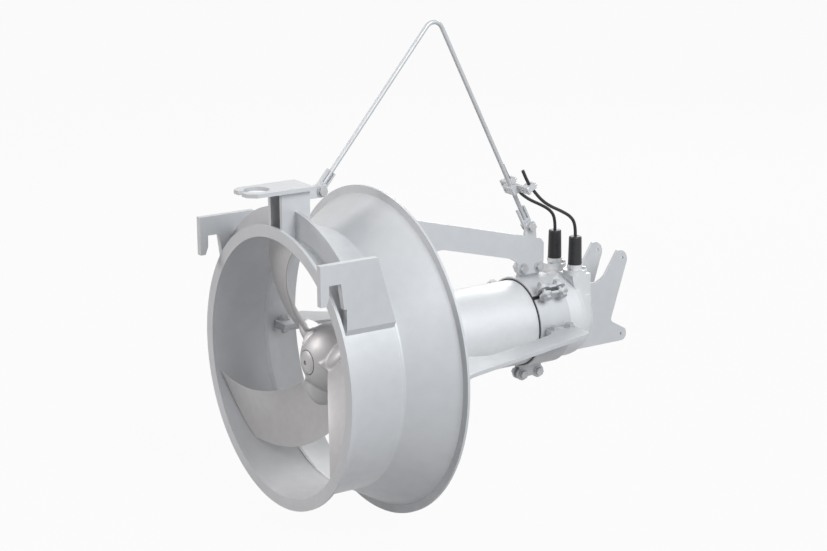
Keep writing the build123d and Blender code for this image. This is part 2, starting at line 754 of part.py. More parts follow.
# Front cover: seal bore, oil chamber and front bearing seat, with feet for the arms
groove_x = HOUSING_X + SPIGOT / 2
with BuildPart() as front_cover:
    with BuildSketch(Plane.XZ):
        with BuildLine():
            Polyline(
                (COVER_FRONT_X, SEAL_BORE_R),
                (COVER_FRONT_X, COVER_FRONT_R),
                (FOOT_BOLT_FRONT_X - 2 * EAR_R, MOTOR_R),
                (HOUSING_X - FLANGE_T, MOTOR_R),
                (HOUSING_X - FLANGE_T, FLANGE_R),
                (HOUSING_X, FLANGE_R),
                (HOUSING_X, housing_bore_r - SEAT_GAP),
                (groove_x - O_RING_W / 2, housing_bore_r - SEAT_GAP),
                (groove_x - O_RING_W / 2, housing_bore_r - O_RING_W),
                (groove_x + O_RING_W / 2, housing_bore_r - O_RING_W),
                (groove_x + O_RING_W / 2, housing_bore_r - SEAT_GAP),
                (HOUSING_X + SPIGOT, housing_bore_r - SEAT_GAP),
                (HOUSING_X + SPIGOT, housing_bore_r - HEAD_WALL),
                (HOUSING_X - SPIGOT, housing_bore_r - HEAD_WALL),
                (HOUSING_X - SPIGOT, FRONT_BEARING_R + HEAD_WALL),
                (FRONT_BEARING_X + BEARING_WIDTH, FRONT_BEARING_R + HEAD_WALL),
                (FRONT_BEARING_X + BEARING_WIDTH, FRONT_BEARING_R),
                (FRONT_BEARING_X, FRONT_BEARING_R),
                (FRONT_BEARING_X, LIP_R),
                (OIL_CHAMBER_END_X, LIP_R),
                (OIL_CHAMBER_END_X, OIL_CHAMBER_R),
                (OIL_CHAMBER_X, COVER_FRONT_R - HEAD_WALL),
                (OIL_CHAMBER_X, SEAL_BORE_R),
                close=True,
            )
        make_face()
    revolve(axis=Axis.X)
    for name in ARM_ANGLES:
        seat = -ARM_SIDES[name] * EAR_T
        foot = ear(
            ARM_ANGLES[name],
            min(0, seat),
            max(0, seat),
            FOOT_BOLT_FRONT_X,
            FOOT_BOLT_REAR_X,
            MOTOR_R - MOTOR_WALL,
        )
        add(foot)
    with Locations(Plane.YZ.offset(HOUSING_X - FLANGE_T)):
        with PolarLocations(FLANGE_BOLT_R, FLANGE_SCREWS, start_angle=180 / FLANGE_SCREWS):
            Cylinder(
                FLANGE_SCREW_D / 2,
                FLANGE_T,
                align=(Align.CENTER, Align.CENTER, Align.MIN),
                mode=Mode.SUBTRACT,
            )
finish(front_cover, "front_cover")

# Socket screws of the housing's front flange
with BuildPart() as flange_screws:
    with Locations(Plane.YZ.offset(HOUSING_X + FLANGE_T)):
        with PolarLocations(FLANGE_BOLT_R, FLANGE_SCREWS, start_angle=180 / FLANGE_SCREWS):
            Cylinder(0.85 * FLANGE_SCREW_D, FLANGE_SCREW_D, align=(Align.CENTER, Align.CENTER, Align.MIN))
            Cylinder(
                FLANGE_SCREW_D / 2 - SEAT_GAP, 2 * FLANGE_T, align=(Align.CENTER, Align.CENTER, Align.MAX)
            )
finish(flange_screws, "flange_screws")

# Connection head: tapered shell with a block and two necks for the cable glands
head_groove_x = HOUSING_END_X - SPIGOT / 2
with BuildPart() as head_shell:
    with BuildSketch(Plane.XZ):
        with BuildLine():
            outer = Polyline(
                (HOUSING_END_X, housing_bore_r - SEAT_GAP),
                (HOUSING_END_X, MOTOR_R),
                (HOUSING_END_X + HEAD_RIM, MOTOR_R),
                (HOUSING_END_X + HEAD_SHOULDER, HEAD_SHOULDER_R),
                (head_taper_x, HEAD_TAPER_R),
            )
            middle_x = (head_taper_x + head_end_x) / 2
            middle_r = (HEAD_TAPER_R + HEAD_END_R) / 2
            dome = ThreePointArc(
                outer @ 1, (middle_x + HEAD_CROWN, middle_r + HEAD_CROWN), (head_end_x, HEAD_END_R)
            )
            Polyline(dome @ 1, (head_end_x, 0), (HOUSING_END_X - SPIGOT, 0), outer @ 0)
        make_face()
    revolve(axis=Axis.X)

neck_half = GLAND_R - 1
with BuildPart() as connection_head:
    add(head_shell.part)
    with BuildSketch(Plane.XY.offset(BLOCK_BOTTOM_Z)):
        with Locations((block_x + BLOCK_LENGTH / 2, 0)):
            RectangleRounded(BLOCK_LENGTH, 2 * BLOCK_HALF_Y, BLOCK_CORNER_R)
    extrude(amount=BLOCK_TOP_Z - BLOCK_BOTTOM_Z)
    for side in (-1, 1):
        with BuildSketch(Plane.XZ.offset(-side * GLAND_Y + neck_half)):
            with BuildLine():
                Polyline(
                    (block_x + NECK_RIM, BLOCK_TOP_Z - BLOCK_CORNER_R),
                    (neck_front_x, NECK_TOP_Z - NECK_RIM),
                    (neck_front_x, NECK_TOP_Z),
                    (gland_x + neck_half, NECK_TOP_Z),
                    (gland_x + neck_half, BLOCK_TOP_Z - BLOCK_CORNER_R),
                    close=True,
                )
            make_face()
        neck = extrude(amount=-2 * neck_half, mode=Mode.PRIVATE)
        add(neck)
    with BuildSketch(Plane.XZ):
        inside_x = (HOUSING_END_X - SPIGOT, head_taper_x - HEAD_WALL)
        inside_r = housing_bore_r - HEAD_WALL
        with Locations((sum(inside_x) / 2, inside_r / 2)):
            Rectangle(inside_x[1] - inside_x[0], inside_r)
        with Locations((head_groove_x, housing_bore_r)):
            Rectangle(O_RING_W, 2 * O_RING_W)
    revolve(axis=Axis.X, mode=Mode.SUBTRACT)
    with Locations((gland_x, -GLAND_Y, NECK_TOP_Z), (gland_x, GLAND_Y, NECK_TOP_Z)):
        Cylinder(
            BUSH_R,
            NECK_TOP_Z - BLOCK_BOTTOM_Z,
            align=(Align.CENTER, Align.CENTER, Align.MAX),
            mode=Mode.SUBTRACT,
        )
        with PolarLocations(GLAND_SCREW_PCR, GLAND_SCREWS, start_angle=90):
            Cylinder(
                GLAND_SCREW_D / 2, GLAND_T, align=(Align.CENTER, Align.CENTER, Align.MAX), mode=Mode.SUBTRACT
            )
finish(connection_head, "connection_head")

# Glands: flange with collar, screws, inner rubber bush and the sleeve that guards the cable
sleeve_bottom_z = GLAND_COLLAR_TOP_Z
sleeve_top_z = CABLE_ROUTE[0][1]
with BuildPart() as gland_screws:
    for side in (-1, 1):
        with Locations((gland_x, side * GLAND_Y, NECK_TOP_Z + GLAND_T)):
            with PolarLocations(GLAND_SCREW_PCR, GLAND_SCREWS, start_angle=90):
                Cylinder(
                    0.8 * GLAND_SCREW_D,
                    0.8 * GLAND_SCREW_D,
                    align=(Align.CENTER, Align.CENTER, Align.MIN),
                )
                Cylinder(
                    GLAND_SCREW_D / 2 - SEAT_GAP, 2 * GLAND_T, align=(Align.CENTER, Align.CENTER, Align.MAX)
                )
finish(gland_screws, "gland_screws")

for label, side in (("right", -1), ("left", 1)):
    gland_axis = Axis((gland_x, side * GLAND_Y, 0), (0, 0, 1))
    with BuildPart() as gland_flange:
        with Locations((gland_x, side * GLAND_Y, NECK_TOP_Z)):
            Cylinder(GLAND_R, GLAND_T, align=(Align.CENTER, Align.CENTER, Align.MIN))
            Cylinder(
                GLAND_COLLAR_R,
                GLAND_COLLAR_TOP_Z - NECK_TOP_Z,
                align=(Align.CENTER, Align.CENTER, Align.MIN),
            )
            Cylinder(
                CABLE_D / 2 + SEAT_GAP,
                GLAND_COLLAR_TOP_Z - NECK_TOP_Z,
                align=(Align.CENTER, Align.CENTER, Align.MIN),
                mode=Mode.SUBTRACT,
            )
            with PolarLocations(GLAND_SCREW_PCR, GLAND_SCREWS, start_angle=90):
                Hole(GLAND_SCREW_D / 2)
    finish(gland_flange, f"gland_flange_{label}")

    with BuildPart() as sleeve:
        with BuildSketch(Plane.XZ.offset(-side * GLAND_Y)):
            with BuildLine():
                Polyline(
                    (gland_x, sleeve_bottom_z),
                    (gland_x + SLEEVE_BOTTOM_R, sleeve_bottom_z),
                    (gland_x + SLEEVE_TOP_R, sleeve_top_z),
                    (gland_x, sleeve_top_z),
                    close=True,
                )
            make_face()
        revolve(axis=gland_axis)
        fillet(sleeve.edges().group_by(Axis.Z)[-1], SLEEVE_EDGE_R)
    finish(sleeve, f"cable_sleeve_{label}")

with BuildPart() as cable_bushes:
    with Locations((gland_x, -GLAND_Y, NECK_TOP_Z), (gland_x, GLAND_Y, NECK_TOP_Z)):
        Cylinder(BUSH_R - SEAT_GAP, 2 * BUSH_R, align=(Align.CENTER, Align.CENTER, Align.MAX))
        Cylinder(
            CABLE_D / 2, 2 * BUSH_R, align=(Align.CENTER, Align.CENTER, Align.MAX), mode=Mode.SUBTRACT
        )
finish(cable_bushes, "cable_bushes")


def corner_radii(points):
    """Bend radii of a cord's route, each as large as its two runs allow."""
    radii = []
    for before, here, after in zip(points, points[1:], points[2:]):
        turn = radians((here - before).get_angle(after - here))
        run = min((here - before).length, (after - here).length)
        radii.append(CABLE_CORNER_SHARE * run / tan(turn / 2))
    return radii


# Cables, from the sleeves up to their cut ends past the bar
for label, side in (("right", -1), ("left", 1)):
    route = [Vector(gland_x - forward, side * GLAND_Y, z) for forward, z in CABLE_ROUTE]
    radii = corner_radii(route)
    with BuildPart() as cable:
        with BuildLine() as cable_line:
            FilletPolyline(*route, radius=radii)
        with BuildSketch(Plane(origin=route[0], z_dir=route[1] - route[0])):
            Circle(CABLE_D / 2)
        sweep()
    cable_length = sum(edge.length for edge in cable_line.edges())
    expected = cable_length * pi * CABLE_D**2 / 4
    print(f"cable_{label}: length {cable_length:.0f}", "radii", [round(r) for r in radii])
    print(f"volume ratio {cable.part.volume / expected:.4f}")
    finish(cable, f"cable_{label}")

# Bar across the bail's rear leg that carries the cables
cable_start, cable_end = (Vector(gland_x - forward, rod_y, z) for forward, z in CABLE_ROUTE[-3:-1])
cable_here = (cable_start + cable_end) / 2
cable_run = (cable_end - cable_start).normalized()
rod_normal = Vector(rear_leg.Z, 0, -rear_leg.X)
rod_foot = rear_pin + rear_leg * (cable_here - rear_pin).dot(rear_leg)
bar_seat = rod_foot + rod_normal * (BAIL_ROD_D / 2)
bar_plane = Plane(origin=(bar_seat.X, 0, bar_seat.Z), x_dir=(0, 1, 0), z_dir=rod_normal)
cable_lift = (cable_here - bar_seat).dot(rod_normal)
saddle_half = BAIL_ROD_D / 2 + SADDLE_WALL

with BuildPart() as cable_bar:
    with BuildSketch(bar_plane):
        Rectangle(2 * BAR_HALF_Y, BAR_WIDTH)
        fillet(vertices(), BAR_T / 2)
        with Locations(*[(rod_y + s * (saddle_half + CLIP_SCREW_D), 0) for s in (-1, 1)]):
            Circle(CLIP_SCREW_D / 2, mode=Mode.SUBTRACT)
        screw_y = CLIP_LENGTH_Y / 2 - CLIP_SCREW_D
        with Locations(*[(side * GLAND_Y + s * screw_y, 0) for side in (-1, 1) for s in (-1, 1)]):
            Circle(CLIP_SCREW_D / 2, mode=Mode.SUBTRACT)
    extrude(amount=BAR_T)
finish(cable_bar, "cable_bar")

# Saddle that clamps the bar to the rod
with BuildPart() as bar_saddle:
    with BuildSketch(bar_plane.offset(-SEAT_GAP)):
        with Locations((rod_y, 0)):
            Rectangle(2 * (saddle_half + 2 * CLIP_SCREW_D), BAR_WIDTH)
        with Locations(*[(rod_y + s * (saddle_half + CLIP_SCREW_D), 0) for s in (-1, 1)]):
            Circle(CLIP_SCREW_D / 2, mode=Mode.SUBTRACT)
    extrude(amount=-BAIL_ROD_D - SADDLE_WALL)
    with BuildSketch(Plane(origin=rod_foot - rear_leg * BAR_WIDTH, z_dir=rear_leg)):
        Circle(BAIL_ROD_D / 2 + SEAT_GAP / 2)
    extrude(amount=2 * BAR_WIDTH, mode=Mode.SUBTRACT)
finish(bar_saddle, "bar_saddle")

# Two clips on the bar, each bored for its cable
with BuildPart() as cable_clips:
    for side in (-1, 1):
        with BuildSketch(bar_plane.offset(BAR_T)):
            with Locations((side * GLAND_Y, 0)):
                Rectangle(CLIP_LENGTH_Y, CLIP_WIDTH)
            with Locations(*[(side * GLAND_Y + s * (CLIP_LENGTH_Y / 2 - CLIP_SCREW_D), 0) for s in (-1, 1)]):
                Circle(CLIP_SCREW_D / 2, mode=Mode.SUBTRACT)
        extrude(amount=cable_lift - BAR_T + CABLE_D / 2 + CLIP_CROWN)
    for side in (-1, 1):
        middle = Vector(cable_here.X, side * GLAND_Y, cable_here.Z)
        with BuildSketch(Plane(origin=middle - cable_run * BAR_WIDTH, z_dir=cable_run)):
            Circle(CABLE_D / 2 + CLIP_GAP)
        extrude(amount=2 * BAR_WIDTH, mode=Mode.SUBTRACT)
finish(cable_clips, "cable_clips")

# Screws of the saddle and the clips
clip_height = cable_lift + CABLE_D / 2 + CLIP_CROWN
with BuildPart() as clip_screws:
    with Locations(bar_plane.offset(BAR_T)):
        with Locations(*[(rod_y + s * (saddle_half + CLIP_SCREW_D), 0, 0) for s in (-1, 1)]):
            Cylinder(CLIP_SCREW_D, CLIP_SCREW_D, align=(Align.CENTER, Align.CENTER, Align.MIN))
            Cylinder(
                CLIP_SCREW_D / 2 - SEAT_GAP, BAR_T + 24, align=(Align.CENTER, Align.CENTER, Align.MAX)
            )
    with Locations(bar_plane.offset(clip_height)):
        with Locations(
            *[
                (side * GLAND_Y + s * (CLIP_LENGTH_Y / 2 - CLIP_SCREW_D), 0, 0)
                for side in (-1, 1)
                for s in (-1, 1)
            ]
        ):
            Cylinder(CLIP_SCREW_D - 1, CLIP_SCREW_D, align=(Align.CENTER, Align.CENTER, Align.MIN))
            Cylinder(
                CLIP_SCREW_D / 2 - SEAT_GAP, clip_height + 4, align=(Align.CENTER, Align.CENTER, Align.MAX)
            )
finish(clip_screws, "clip_screws")

# Rear plates, cut to the head they are welded to
plate_front_x = HOUSING_END_X + PLATE_FRONT
plate_eyes = [(HOUSING_END_X + UPPER_EYE, UPPER_EYE_Z), (HOUSING_END_X + LOWER_EYE, LOWER_EYE_Z)]
for label, side in (("right", -1), ("left", 1)):
    with BuildPart() as rear_plate:
        with BuildSketch(Plane.XZ.offset(-side * PLATE_INNER_Y)):
            with BuildLine():
                FilletPolyline(
                    (plate_front_x - PLATE_LOWER_INSET, PLATE_BOTTOM_Z),
                    (plate_front_x - PLATE_INSET, PLATE_TOP_Z / 2),
                    (plate_front_x, PLATE_TOP_Z),
                    (HOUSING_END_X + PLATE_THROAT, PLATE_TOP_Z),
                    (HOUSING_END_X + UPPER_LIMB, UPPER_LIMB_TOP_Z),
                    (HOUSING_END_X + UPPER_LIMB_REAR, UPPER_LIMB_TOP_Z),
                    (HOUSING_END_X + PLATE_WAIST, PLATE_WAIST_Z),
                    (HOUSING_END_X + LOWER_LIMB_REAR, LOWER_LIMB_TOP_Z),
                    (HOUSING_END_X + LOWER_LIMB_REAR, PLATE_BOTTOM_Z),
                    radius=[3, 3, 3, 55, 6, 34, 16, 17, 20],
                    close=True,
                )
            make_face()
            with Locations(*plate_eyes):
                Circle(PLATE_HOLE_R, mode=Mode.SUBTRACT)
        extrude(amount=-side * PLATE_T)
        add(head_shell.part, mode=Mode.SUBTRACT)
        with Locations((neck_front_x, 0, BLOCK_BOTTOM_Z)):
            Box(
                block_end_x - neck_front_x,
                2 * BLOCK_HALF_Y,
                NECK_TOP_Z - BLOCK_BOTTOM_Z,
                align=(Align.MIN, Align.CENTER, Align.MIN),
                mode=Mode.SUBTRACT,
            )
    finish(rear_plate, f"rear_plate_{label}")

# Hexagon bolts, washers and nuts of the arms, the clamp and the bail
with BuildPart() as hex_bolts:
    for station, grip in stations:
        with BuildSketch(station.offset(WASHER_T)):
            RegularPolygon(HEAD_FLATS / 2, 6, major_radius=False)
        extrude(amount=HEAD_H)
        with BuildSketch(station.offset(WASHER_T)):
            Circle(BOLT_D / 2)
        extrude(amount=-(2 * WASHER_T + grip + NUT_H + THREAD_END))
finish(hex_bolts, "hex_bolts")

with BuildPart() as plain_washers:
    for station, grip in stations:
        for height in (0, -grip - WASHER_T):
            with BuildSketch(station.offset(height)):
                Circle(WASHER_R)
                Circle(BOLT_HOLE_R, mode=Mode.SUBTRACT)
            extrude(amount=WASHER_T)
finish(plain_washers, "plain_washers")

with BuildPart() as hex_nuts:
    for station, grip in stations:
        with BuildSketch(station.offset(-grip - WASHER_T)):
            RegularPolygon(HEAD_FLATS / 2, 6, major_radius=False)
            Circle(BOLT_D / 2 + SEAT_GAP, mode=Mode.SUBTRACT)
        extrude(amount=-NUT_H)
finish(hex_nuts, "hex_nuts")

# Inside the motor: bearing bracket, stator and its end windings
with BuildPart() as bearing_bracket:
    with BuildSketch(Plane.XZ):
        with BuildLine():
            Polyline(
                (rear_bearing_x - HEAD_WALL, LIP_R),
                (rear_bearing_x - HEAD_WALL, housing_bore_r - SEAT_GAP),
                (rear_bearing_x + HEAD_WALL, housing_bore_r - SEAT_GAP),
                (rear_bearing_x + HEAD_WALL, REAR_BEARING_R + HEAD_WALL),
                (rear_bearing_x + BEARING_WIDTH, REAR_BEARING_R + HEAD_WALL),
                (rear_bearing_x + BEARING_WIDTH, REAR_BEARING_R),
                (rear_bearing_x, REAR_BEARING_R),
                (rear_bearing_x, LIP_R),
                close=True,
            )
        make_face()
    revolve(axis=Axis.X)
finish(bearing_bracket, "bearing_bracket")

with BuildPart() as stator_core:
    add(ring(CORE_X, CORE_X + CORE_LENGTH, ROTOR_R + AIR_GAP, housing_bore_r - SEAT_GAP))
finish(stator_core, "stator_core")

with BuildPart() as end_windings:
    for start_x in (CORE_X - WINDING_LENGTH, CORE_X + CORE_LENGTH):
        add(ring(start_x, start_x + WINDING_LENGTH, WINDING_INNER_R, WINDING_OUTER_R - 4))
    fillet(end_windings.edges().filter_by(GeomType.CIRCLE).group_by(Axis.X)[0], 8)
    fillet(end_windings.edges().filter_by(GeomType.CIRCLE).group_by(Axis.X)[-1], 8)
finish(end_windings, "end_windings")

with BuildPart() as o_rings:
    for x in (groove_x, head_groove_x):
        half_w = O_RING_W / 2 - 1
        add(ring(x - half_w, x + half_w, housing_bore_r - O_RING_W, housing_bore_r - SEAT_GAP))
finish(o_rings, "o_rings")

with BuildPart() as terminal_block:
    with Locations((head_taper_x - HEAD_WALL, 0, 0)):
        Box(24, 90, 44, align=(Align.MAX, Align.CENTER, Align.CENTER))
        with GridLocations(0, 26, 1, 3):
            Box(10, 14, 60, align=(Align.MAX, Align.CENTER, Align.CENTER))
finish(terminal_block, "terminal_block")

# Bearings: outer rings held still, balls and inner rings turning with the shaft
bearings = (
    (FRONT_BEARING_X, SHAFT_SEAL_R, FRONT_BEARING_R),
    (rear_bearing_x, SHAFT_REAR_R, REAR_BEARING_R),
)


def ball_track(start_x, inner_r, outer_r):
    """Round groove of a bearing, as a ring to cut."""
    with BuildPart() as track:
        with BuildSketch(Plane.XZ):
            with Locations((start_x + BEARING_WIDTH / 2, (inner_r + outer_r) / 2)):
                Circle(BALL_R + RUNNING_GAP)
        revolve(axis=Axis.X)
    return track.part


with BuildPart() as bearing_outer_rings:
    for start_x, inner_r, outer_r in bearings:
        middle_r = (inner_r + outer_r) / 2
        add(ring(start_x, start_x + BEARING_WIDTH, middle_r + BALL_R / 2, outer_r))
        add(ball_track(start_x, inner_r, outer_r), mode=Mode.SUBTRACT)
finish(bearing_outer_rings, "bearing_outer_rings")

with BuildPart() as bearing_inner_rings:
    for start_x, inner_r, outer_r in bearings:
        middle_r = (inner_r + outer_r) / 2
        add(ring(start_x, start_x + BEARING_WIDTH, inner_r, middle_r - BALL_R / 2))
        add(ball_track(start_x, inner_r, outer_r), mode=Mode.SUBTRACT)
finish(bearing_inner_rings, "bearing_inner_rings")

with BuildPart() as bearing_balls:
    for start_x, inner_r, outer_r in bearings:
        with Locations(Plane.YZ.offset(start_x + BEARING_WIDTH / 2)):
            with PolarLocations((inner_r + outer_r) / 2, BALLS):
                Sphere(BALL_R)
finish(bearing_balls, "bearing_balls")

# Mechanical seal: seat in the cover, ring turning with the shaft
with BuildPart() as seal_seat:
    add(ring(SEAL_X, SEAL_X + SEAL_SEAT_LENGTH, SHAFT_SEAL_R + 1, SEAL_BORE_R))
finish(seal_seat, "seal_seat")

with BuildPart() as seal_ring:
    start_x = SEAL_X + SEAL_SEAT_LENGTH + RUNNING_GAP
    add(ring(start_x, start_x + SEAL_RING_LENGTH, SHAFT_SEAL_R, SEAL_BORE_R - 3))
finish(seal_ring, "seal_ring")

# Shaft with its steps, the rotor core on it and the key in the hub
shaft_end_x = rear_bearing_x + BEARING_WIDTH + 4
key_x = HUB_REAR_X - KEY_LENGTH - 12
with BuildPart() as shaft:
    with BuildSketch(Plane.XZ):
        with BuildLine():
            Polyline(
                (SHAFT_START_X, 0),
                (SHAFT_START_X, SHAFT_HUB_R),
                (HUB_REAR_X, SHAFT_HUB_R),
                (HUB_REAR_X, SHAFT_SEAL_R),
                (FRONT_BEARING_X + BEARING_WIDTH, SHAFT_SEAL_R),
                (FRONT_BEARING_X + BEARING_WIDTH, SHAFT_CORE_R),
                (rear_bearing_x - 2 * HEAD_WALL, SHAFT_CORE_R),
                (rear_bearing_x - 2 * HEAD_WALL, SHAFT_REAR_R),
                (shaft_end_x, SHAFT_REAR_R),
                (shaft_end_x, 0),
                close=True,
            )
        make_face()
    revolve(axis=Axis.X)
    with Locations((key_x, 0, SHAFT_HUB_R - KEY_HEIGHT / 2)):
        Box(
            KEY_LENGTH, KEY_WIDTH, KEY_HEIGHT, align=(Align.MIN, Align.CENTER, Align.MIN), mode=Mode.SUBTRACT
        )
    with Locations(Plane.YZ.offset(SHAFT_START_X)):
        Cylinder(
            CAP_SCREW_R, 2 * CAP_R, align=(Align.CENTER, Align.CENTER, Align.MIN), mode=Mode.SUBTRACT
        )
finish(shaft, "shaft")

with BuildPart() as drive_key:
    with Locations((key_x, 0, SHAFT_HUB_R - KEY_HEIGHT / 2)):
        Box(KEY_LENGTH, KEY_WIDTH, KEY_HEIGHT, align=(Align.MIN, Align.CENTER, Align.MIN))
finish(drive_key, "drive_key")

with BuildPart() as rotor_core:
    add(ring(CORE_X, CORE_X + CORE_LENGTH, SHAFT_CORE_R, ROTOR_R))
finish(rotor_core, "rotor_core")


# Propeller
blade_tip_r = BORE_R - TIP_GAP


def edge_curve(terms, share):
    """Value of a blade edge's curve at a share of the height, root (0) to tip (1)."""
    return sum(term * share**power for power, term in enumerate(terms))


def blade_section(share):
    """Plane and outline of a blade's section that passes through both edges at one radius."""
    radius = BLADE_ROOT_R + (blade_tip_r - BLADE_ROOT_R) * share
    front_angle, front_x = edge_curve(LEADING_ANGLE, share), edge_curve(LEADING_X, share)
    rear_angle, rear_x = edge_curve(TRAILING_ANGLE, share), edge_curve(TRAILING_X, share)
    middle = radians((front_angle + rear_angle) / 2)
    half = radians((front_angle - rear_angle) / 2)
    outward = Vector(0, -sin(middle), cos(middle))
    across = Vector(0, -cos(middle), -sin(middle))
    plane = Plane(
        origin=outward * (radius * cos(half)) + Vector((front_x + rear_x) / 2, 0, 0),
        x_dir=across * (radius * sin(half)) + Vector((front_x - rear_x) / 2, 0, 0),
        z_dir=outward,
    )
    chord = 2 * Vector(radius * sin(half), (front_x - rear_x) / 2).length
    return plane, chord


with BuildPart() as blade:
    for step in range(BLADE_SECTIONS):
        share = (1 + 2 * BLADE_RUN_OUT) * step / (BLADE_SECTIONS - 1) - BLADE_RUN_OUT
        plane, chord = blade_section(share)
        thick = BLADE_ROOT_T + (BLADE_TIP_T - BLADE_ROOT_T) * max(0, share)
        bow = BLADE_CAMBER * chord
        edge = BLADE_EDGE_T / 2
        with BuildSketch(plane):
            with BuildLine():
                ThreePointArc((-chord / 2, edge), (0, bow + thick / 2), (chord / 2, edge))
                Line((chord / 2, edge), (chord / 2, -edge))
                ThreePointArc((chord / 2, -edge), (0, bow - thick / 2), (-chord / 2, -edge))
                Line((-chord / 2, -edge), (-chord / 2, edge))
            make_face()
    loft()
    with Locations(Plane.YZ):
        Cylinder(
            blade_tip_r, HUB_REAR_X, align=(Align.CENTER, Align.CENTER, Align.MIN), mode=Mode.INTERSECT
        )

boss_turn = radians(BOSS_ANGLE)
boss_plane = Plane(origin=(BOSS_X, 0, 0), x_dir=(1, 0, 0), z_dir=(0, -sin(boss_turn), cos(boss_turn)))
with BuildPart() as root_boss:
    with Locations(boss_plane):
        Cylinder(BOSS_R, BOSS_TOP_R, align=(Align.CENTER, Align.CENTER, Align.MIN))
    fillet(root_boss.edges().sort_by_distance((BOSS_X, 0, 0))[-1], BOSS_EDGE_R)

collar_x = HUB_BALL_X + (HUB_BALL_R**2 - HUB_REAR_R**2) ** 0.5
with BuildPart() as propeller:
    with BuildSketch(Plane.XZ):
        with BuildLine():
            face = Line((hub_nose_x, 0), (hub_nose_x, CAP_R))
            ball = ThreePointArc(face @ 1, (HUB_BALL_X, HUB_BALL_R), (collar_x, HUB_REAR_R))
            Polyline(ball @ 1, (HUB_REAR_X, HUB_REAR_R), (HUB_REAR_X, 0), face @ 0)
        make_face()
    revolve(axis=Axis.X)
    for turn in range(BLADES):
        add(root_boss.part.rotate(Axis.X, turn * 360 / BLADES))
        add(blade.part.rotate(Axis.X, turn * 360 / BLADES))
    with Locations(Plane.YZ.offset(hub_nose_x)):
        Cylinder(
            CAP_R + SEAT_GAP, CAP_T, align=(Align.CENTER, Align.CENTER, Align.MIN), mode=Mode.SUBTRACT
        )
        Cylinder(
            SHAFT_HUB_R,
            HUB_REAR_X - hub_nose_x,
            align=(Align.CENTER, Align.CENTER, Align.MIN),
            mode=Mode.SUBTRACT,
        )
    with Locations((key_x, 0, 0)):
        Box(
            HUB_REAR_X - key_x,
            KEY_WIDTH,
            SHAFT_HUB_R + KEY_HEIGHT / 2,
            align=(Align.MIN, Align.CENTER, Align.MIN),
            mode=Mode.SUBTRACT,
        )
finish(propeller, "propeller")

# Cap over the hub's bore and the socket screw that draws the hub onto the shaft
cap_back_x = hub_nose_x + CAP_T
crown_r = CAP_SCREW_HEAD_R + CAP_CROWN_WIDTH
with BuildPart() as hub_cap:
    with BuildSketch(Plane.XZ):
        with BuildLine():
            back = Polyline((cap_front_x, 0), (cap_back_x, 0), (cap_back_x, CAP_R), (hub_nose_x, CAP_R))
            crown = ThreePointArc(
                back @ 1, (hub_nose_x - 0.75 * CAP_DOME, (CAP_R + crown_r) / 2), (cap_front_x, crown_r)
            )
            Line(crown @ 1, back @ 0)
        make_face()
    revolve(axis=Axis.X)
    with Locations(Plane.YZ.offset(cap_front_x)):
        Cylinder(
            CAP_SCREW_HEAD_R + SEAT_GAP,
            CAP_SCREW_HEAD_T,
            align=(Align.CENTER, Align.CENTER, Align.MIN),
            mode=Mode.SUBTRACT,
        )
        Cylinder(
            CAP_SCREW_R + SEAT_GAP,
            CAP_T + CAP_DOME,
            align=(Align.CENTER, Align.CENTER, Align.MIN),
            mode=Mode.SUBTRACT,
        )
finish(hub_cap, "hub_cap")

with BuildPart() as cap_screw:
    with Locations(Plane.YZ.offset(cap_front_x)):
        Cylinder(CAP_SCREW_HEAD_R, CAP_SCREW_HEAD_T, align=(Align.CENTER, Align.CENTER, Align.MIN))
        Cylinder(
            CAP_SCREW_R - SEAT_GAP, 2 * CAP_R, align=(Align.CENTER, Align.CENTER, Align.MIN)
        )
    with BuildSketch(Plane.YZ.offset(cap_front_x)):
        RegularPolygon(CAP_SCREW_SOCKET / 2, 6, major_radius=False)
    extrude(amount=CAP_SCREW_HEAD_T / 2, mode=Mode.SUBTRACT)
finish(cap_screw, "cap_screw")
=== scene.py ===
"""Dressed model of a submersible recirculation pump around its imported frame."""

from __future__ import annotations

import json
import logging
from dataclasses import dataclass, field
from enum import Enum
from math import asin, cos, exp, pi, radians, sin, sqrt

import bmesh
import bpy
from mathutils import Matrix, Vector

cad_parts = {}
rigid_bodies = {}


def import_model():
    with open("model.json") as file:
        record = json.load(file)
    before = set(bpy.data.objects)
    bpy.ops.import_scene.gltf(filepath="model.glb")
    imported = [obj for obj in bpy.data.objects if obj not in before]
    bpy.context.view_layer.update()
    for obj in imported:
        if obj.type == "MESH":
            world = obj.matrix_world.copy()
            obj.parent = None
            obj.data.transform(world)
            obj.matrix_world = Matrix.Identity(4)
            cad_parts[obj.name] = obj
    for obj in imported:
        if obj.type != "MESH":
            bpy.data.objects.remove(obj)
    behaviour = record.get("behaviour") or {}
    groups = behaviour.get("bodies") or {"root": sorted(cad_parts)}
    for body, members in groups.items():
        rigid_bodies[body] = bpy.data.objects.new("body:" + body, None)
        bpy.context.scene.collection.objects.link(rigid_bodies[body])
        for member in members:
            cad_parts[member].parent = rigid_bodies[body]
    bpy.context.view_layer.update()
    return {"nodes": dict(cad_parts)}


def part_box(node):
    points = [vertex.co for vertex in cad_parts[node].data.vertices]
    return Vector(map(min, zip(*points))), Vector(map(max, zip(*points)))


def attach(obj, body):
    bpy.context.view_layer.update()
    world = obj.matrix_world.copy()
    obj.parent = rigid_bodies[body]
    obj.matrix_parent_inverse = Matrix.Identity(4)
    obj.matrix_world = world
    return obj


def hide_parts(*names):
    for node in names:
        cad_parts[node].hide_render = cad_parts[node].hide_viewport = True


LOG = logging.getLogger("pump")
Colour = tuple[float, float, float]
Point = tuple[float, float, float]


class Body(Enum):
    """Rigid bodies of the frame."""

    FRAME = "frame"
    ROTOR = "rotor"


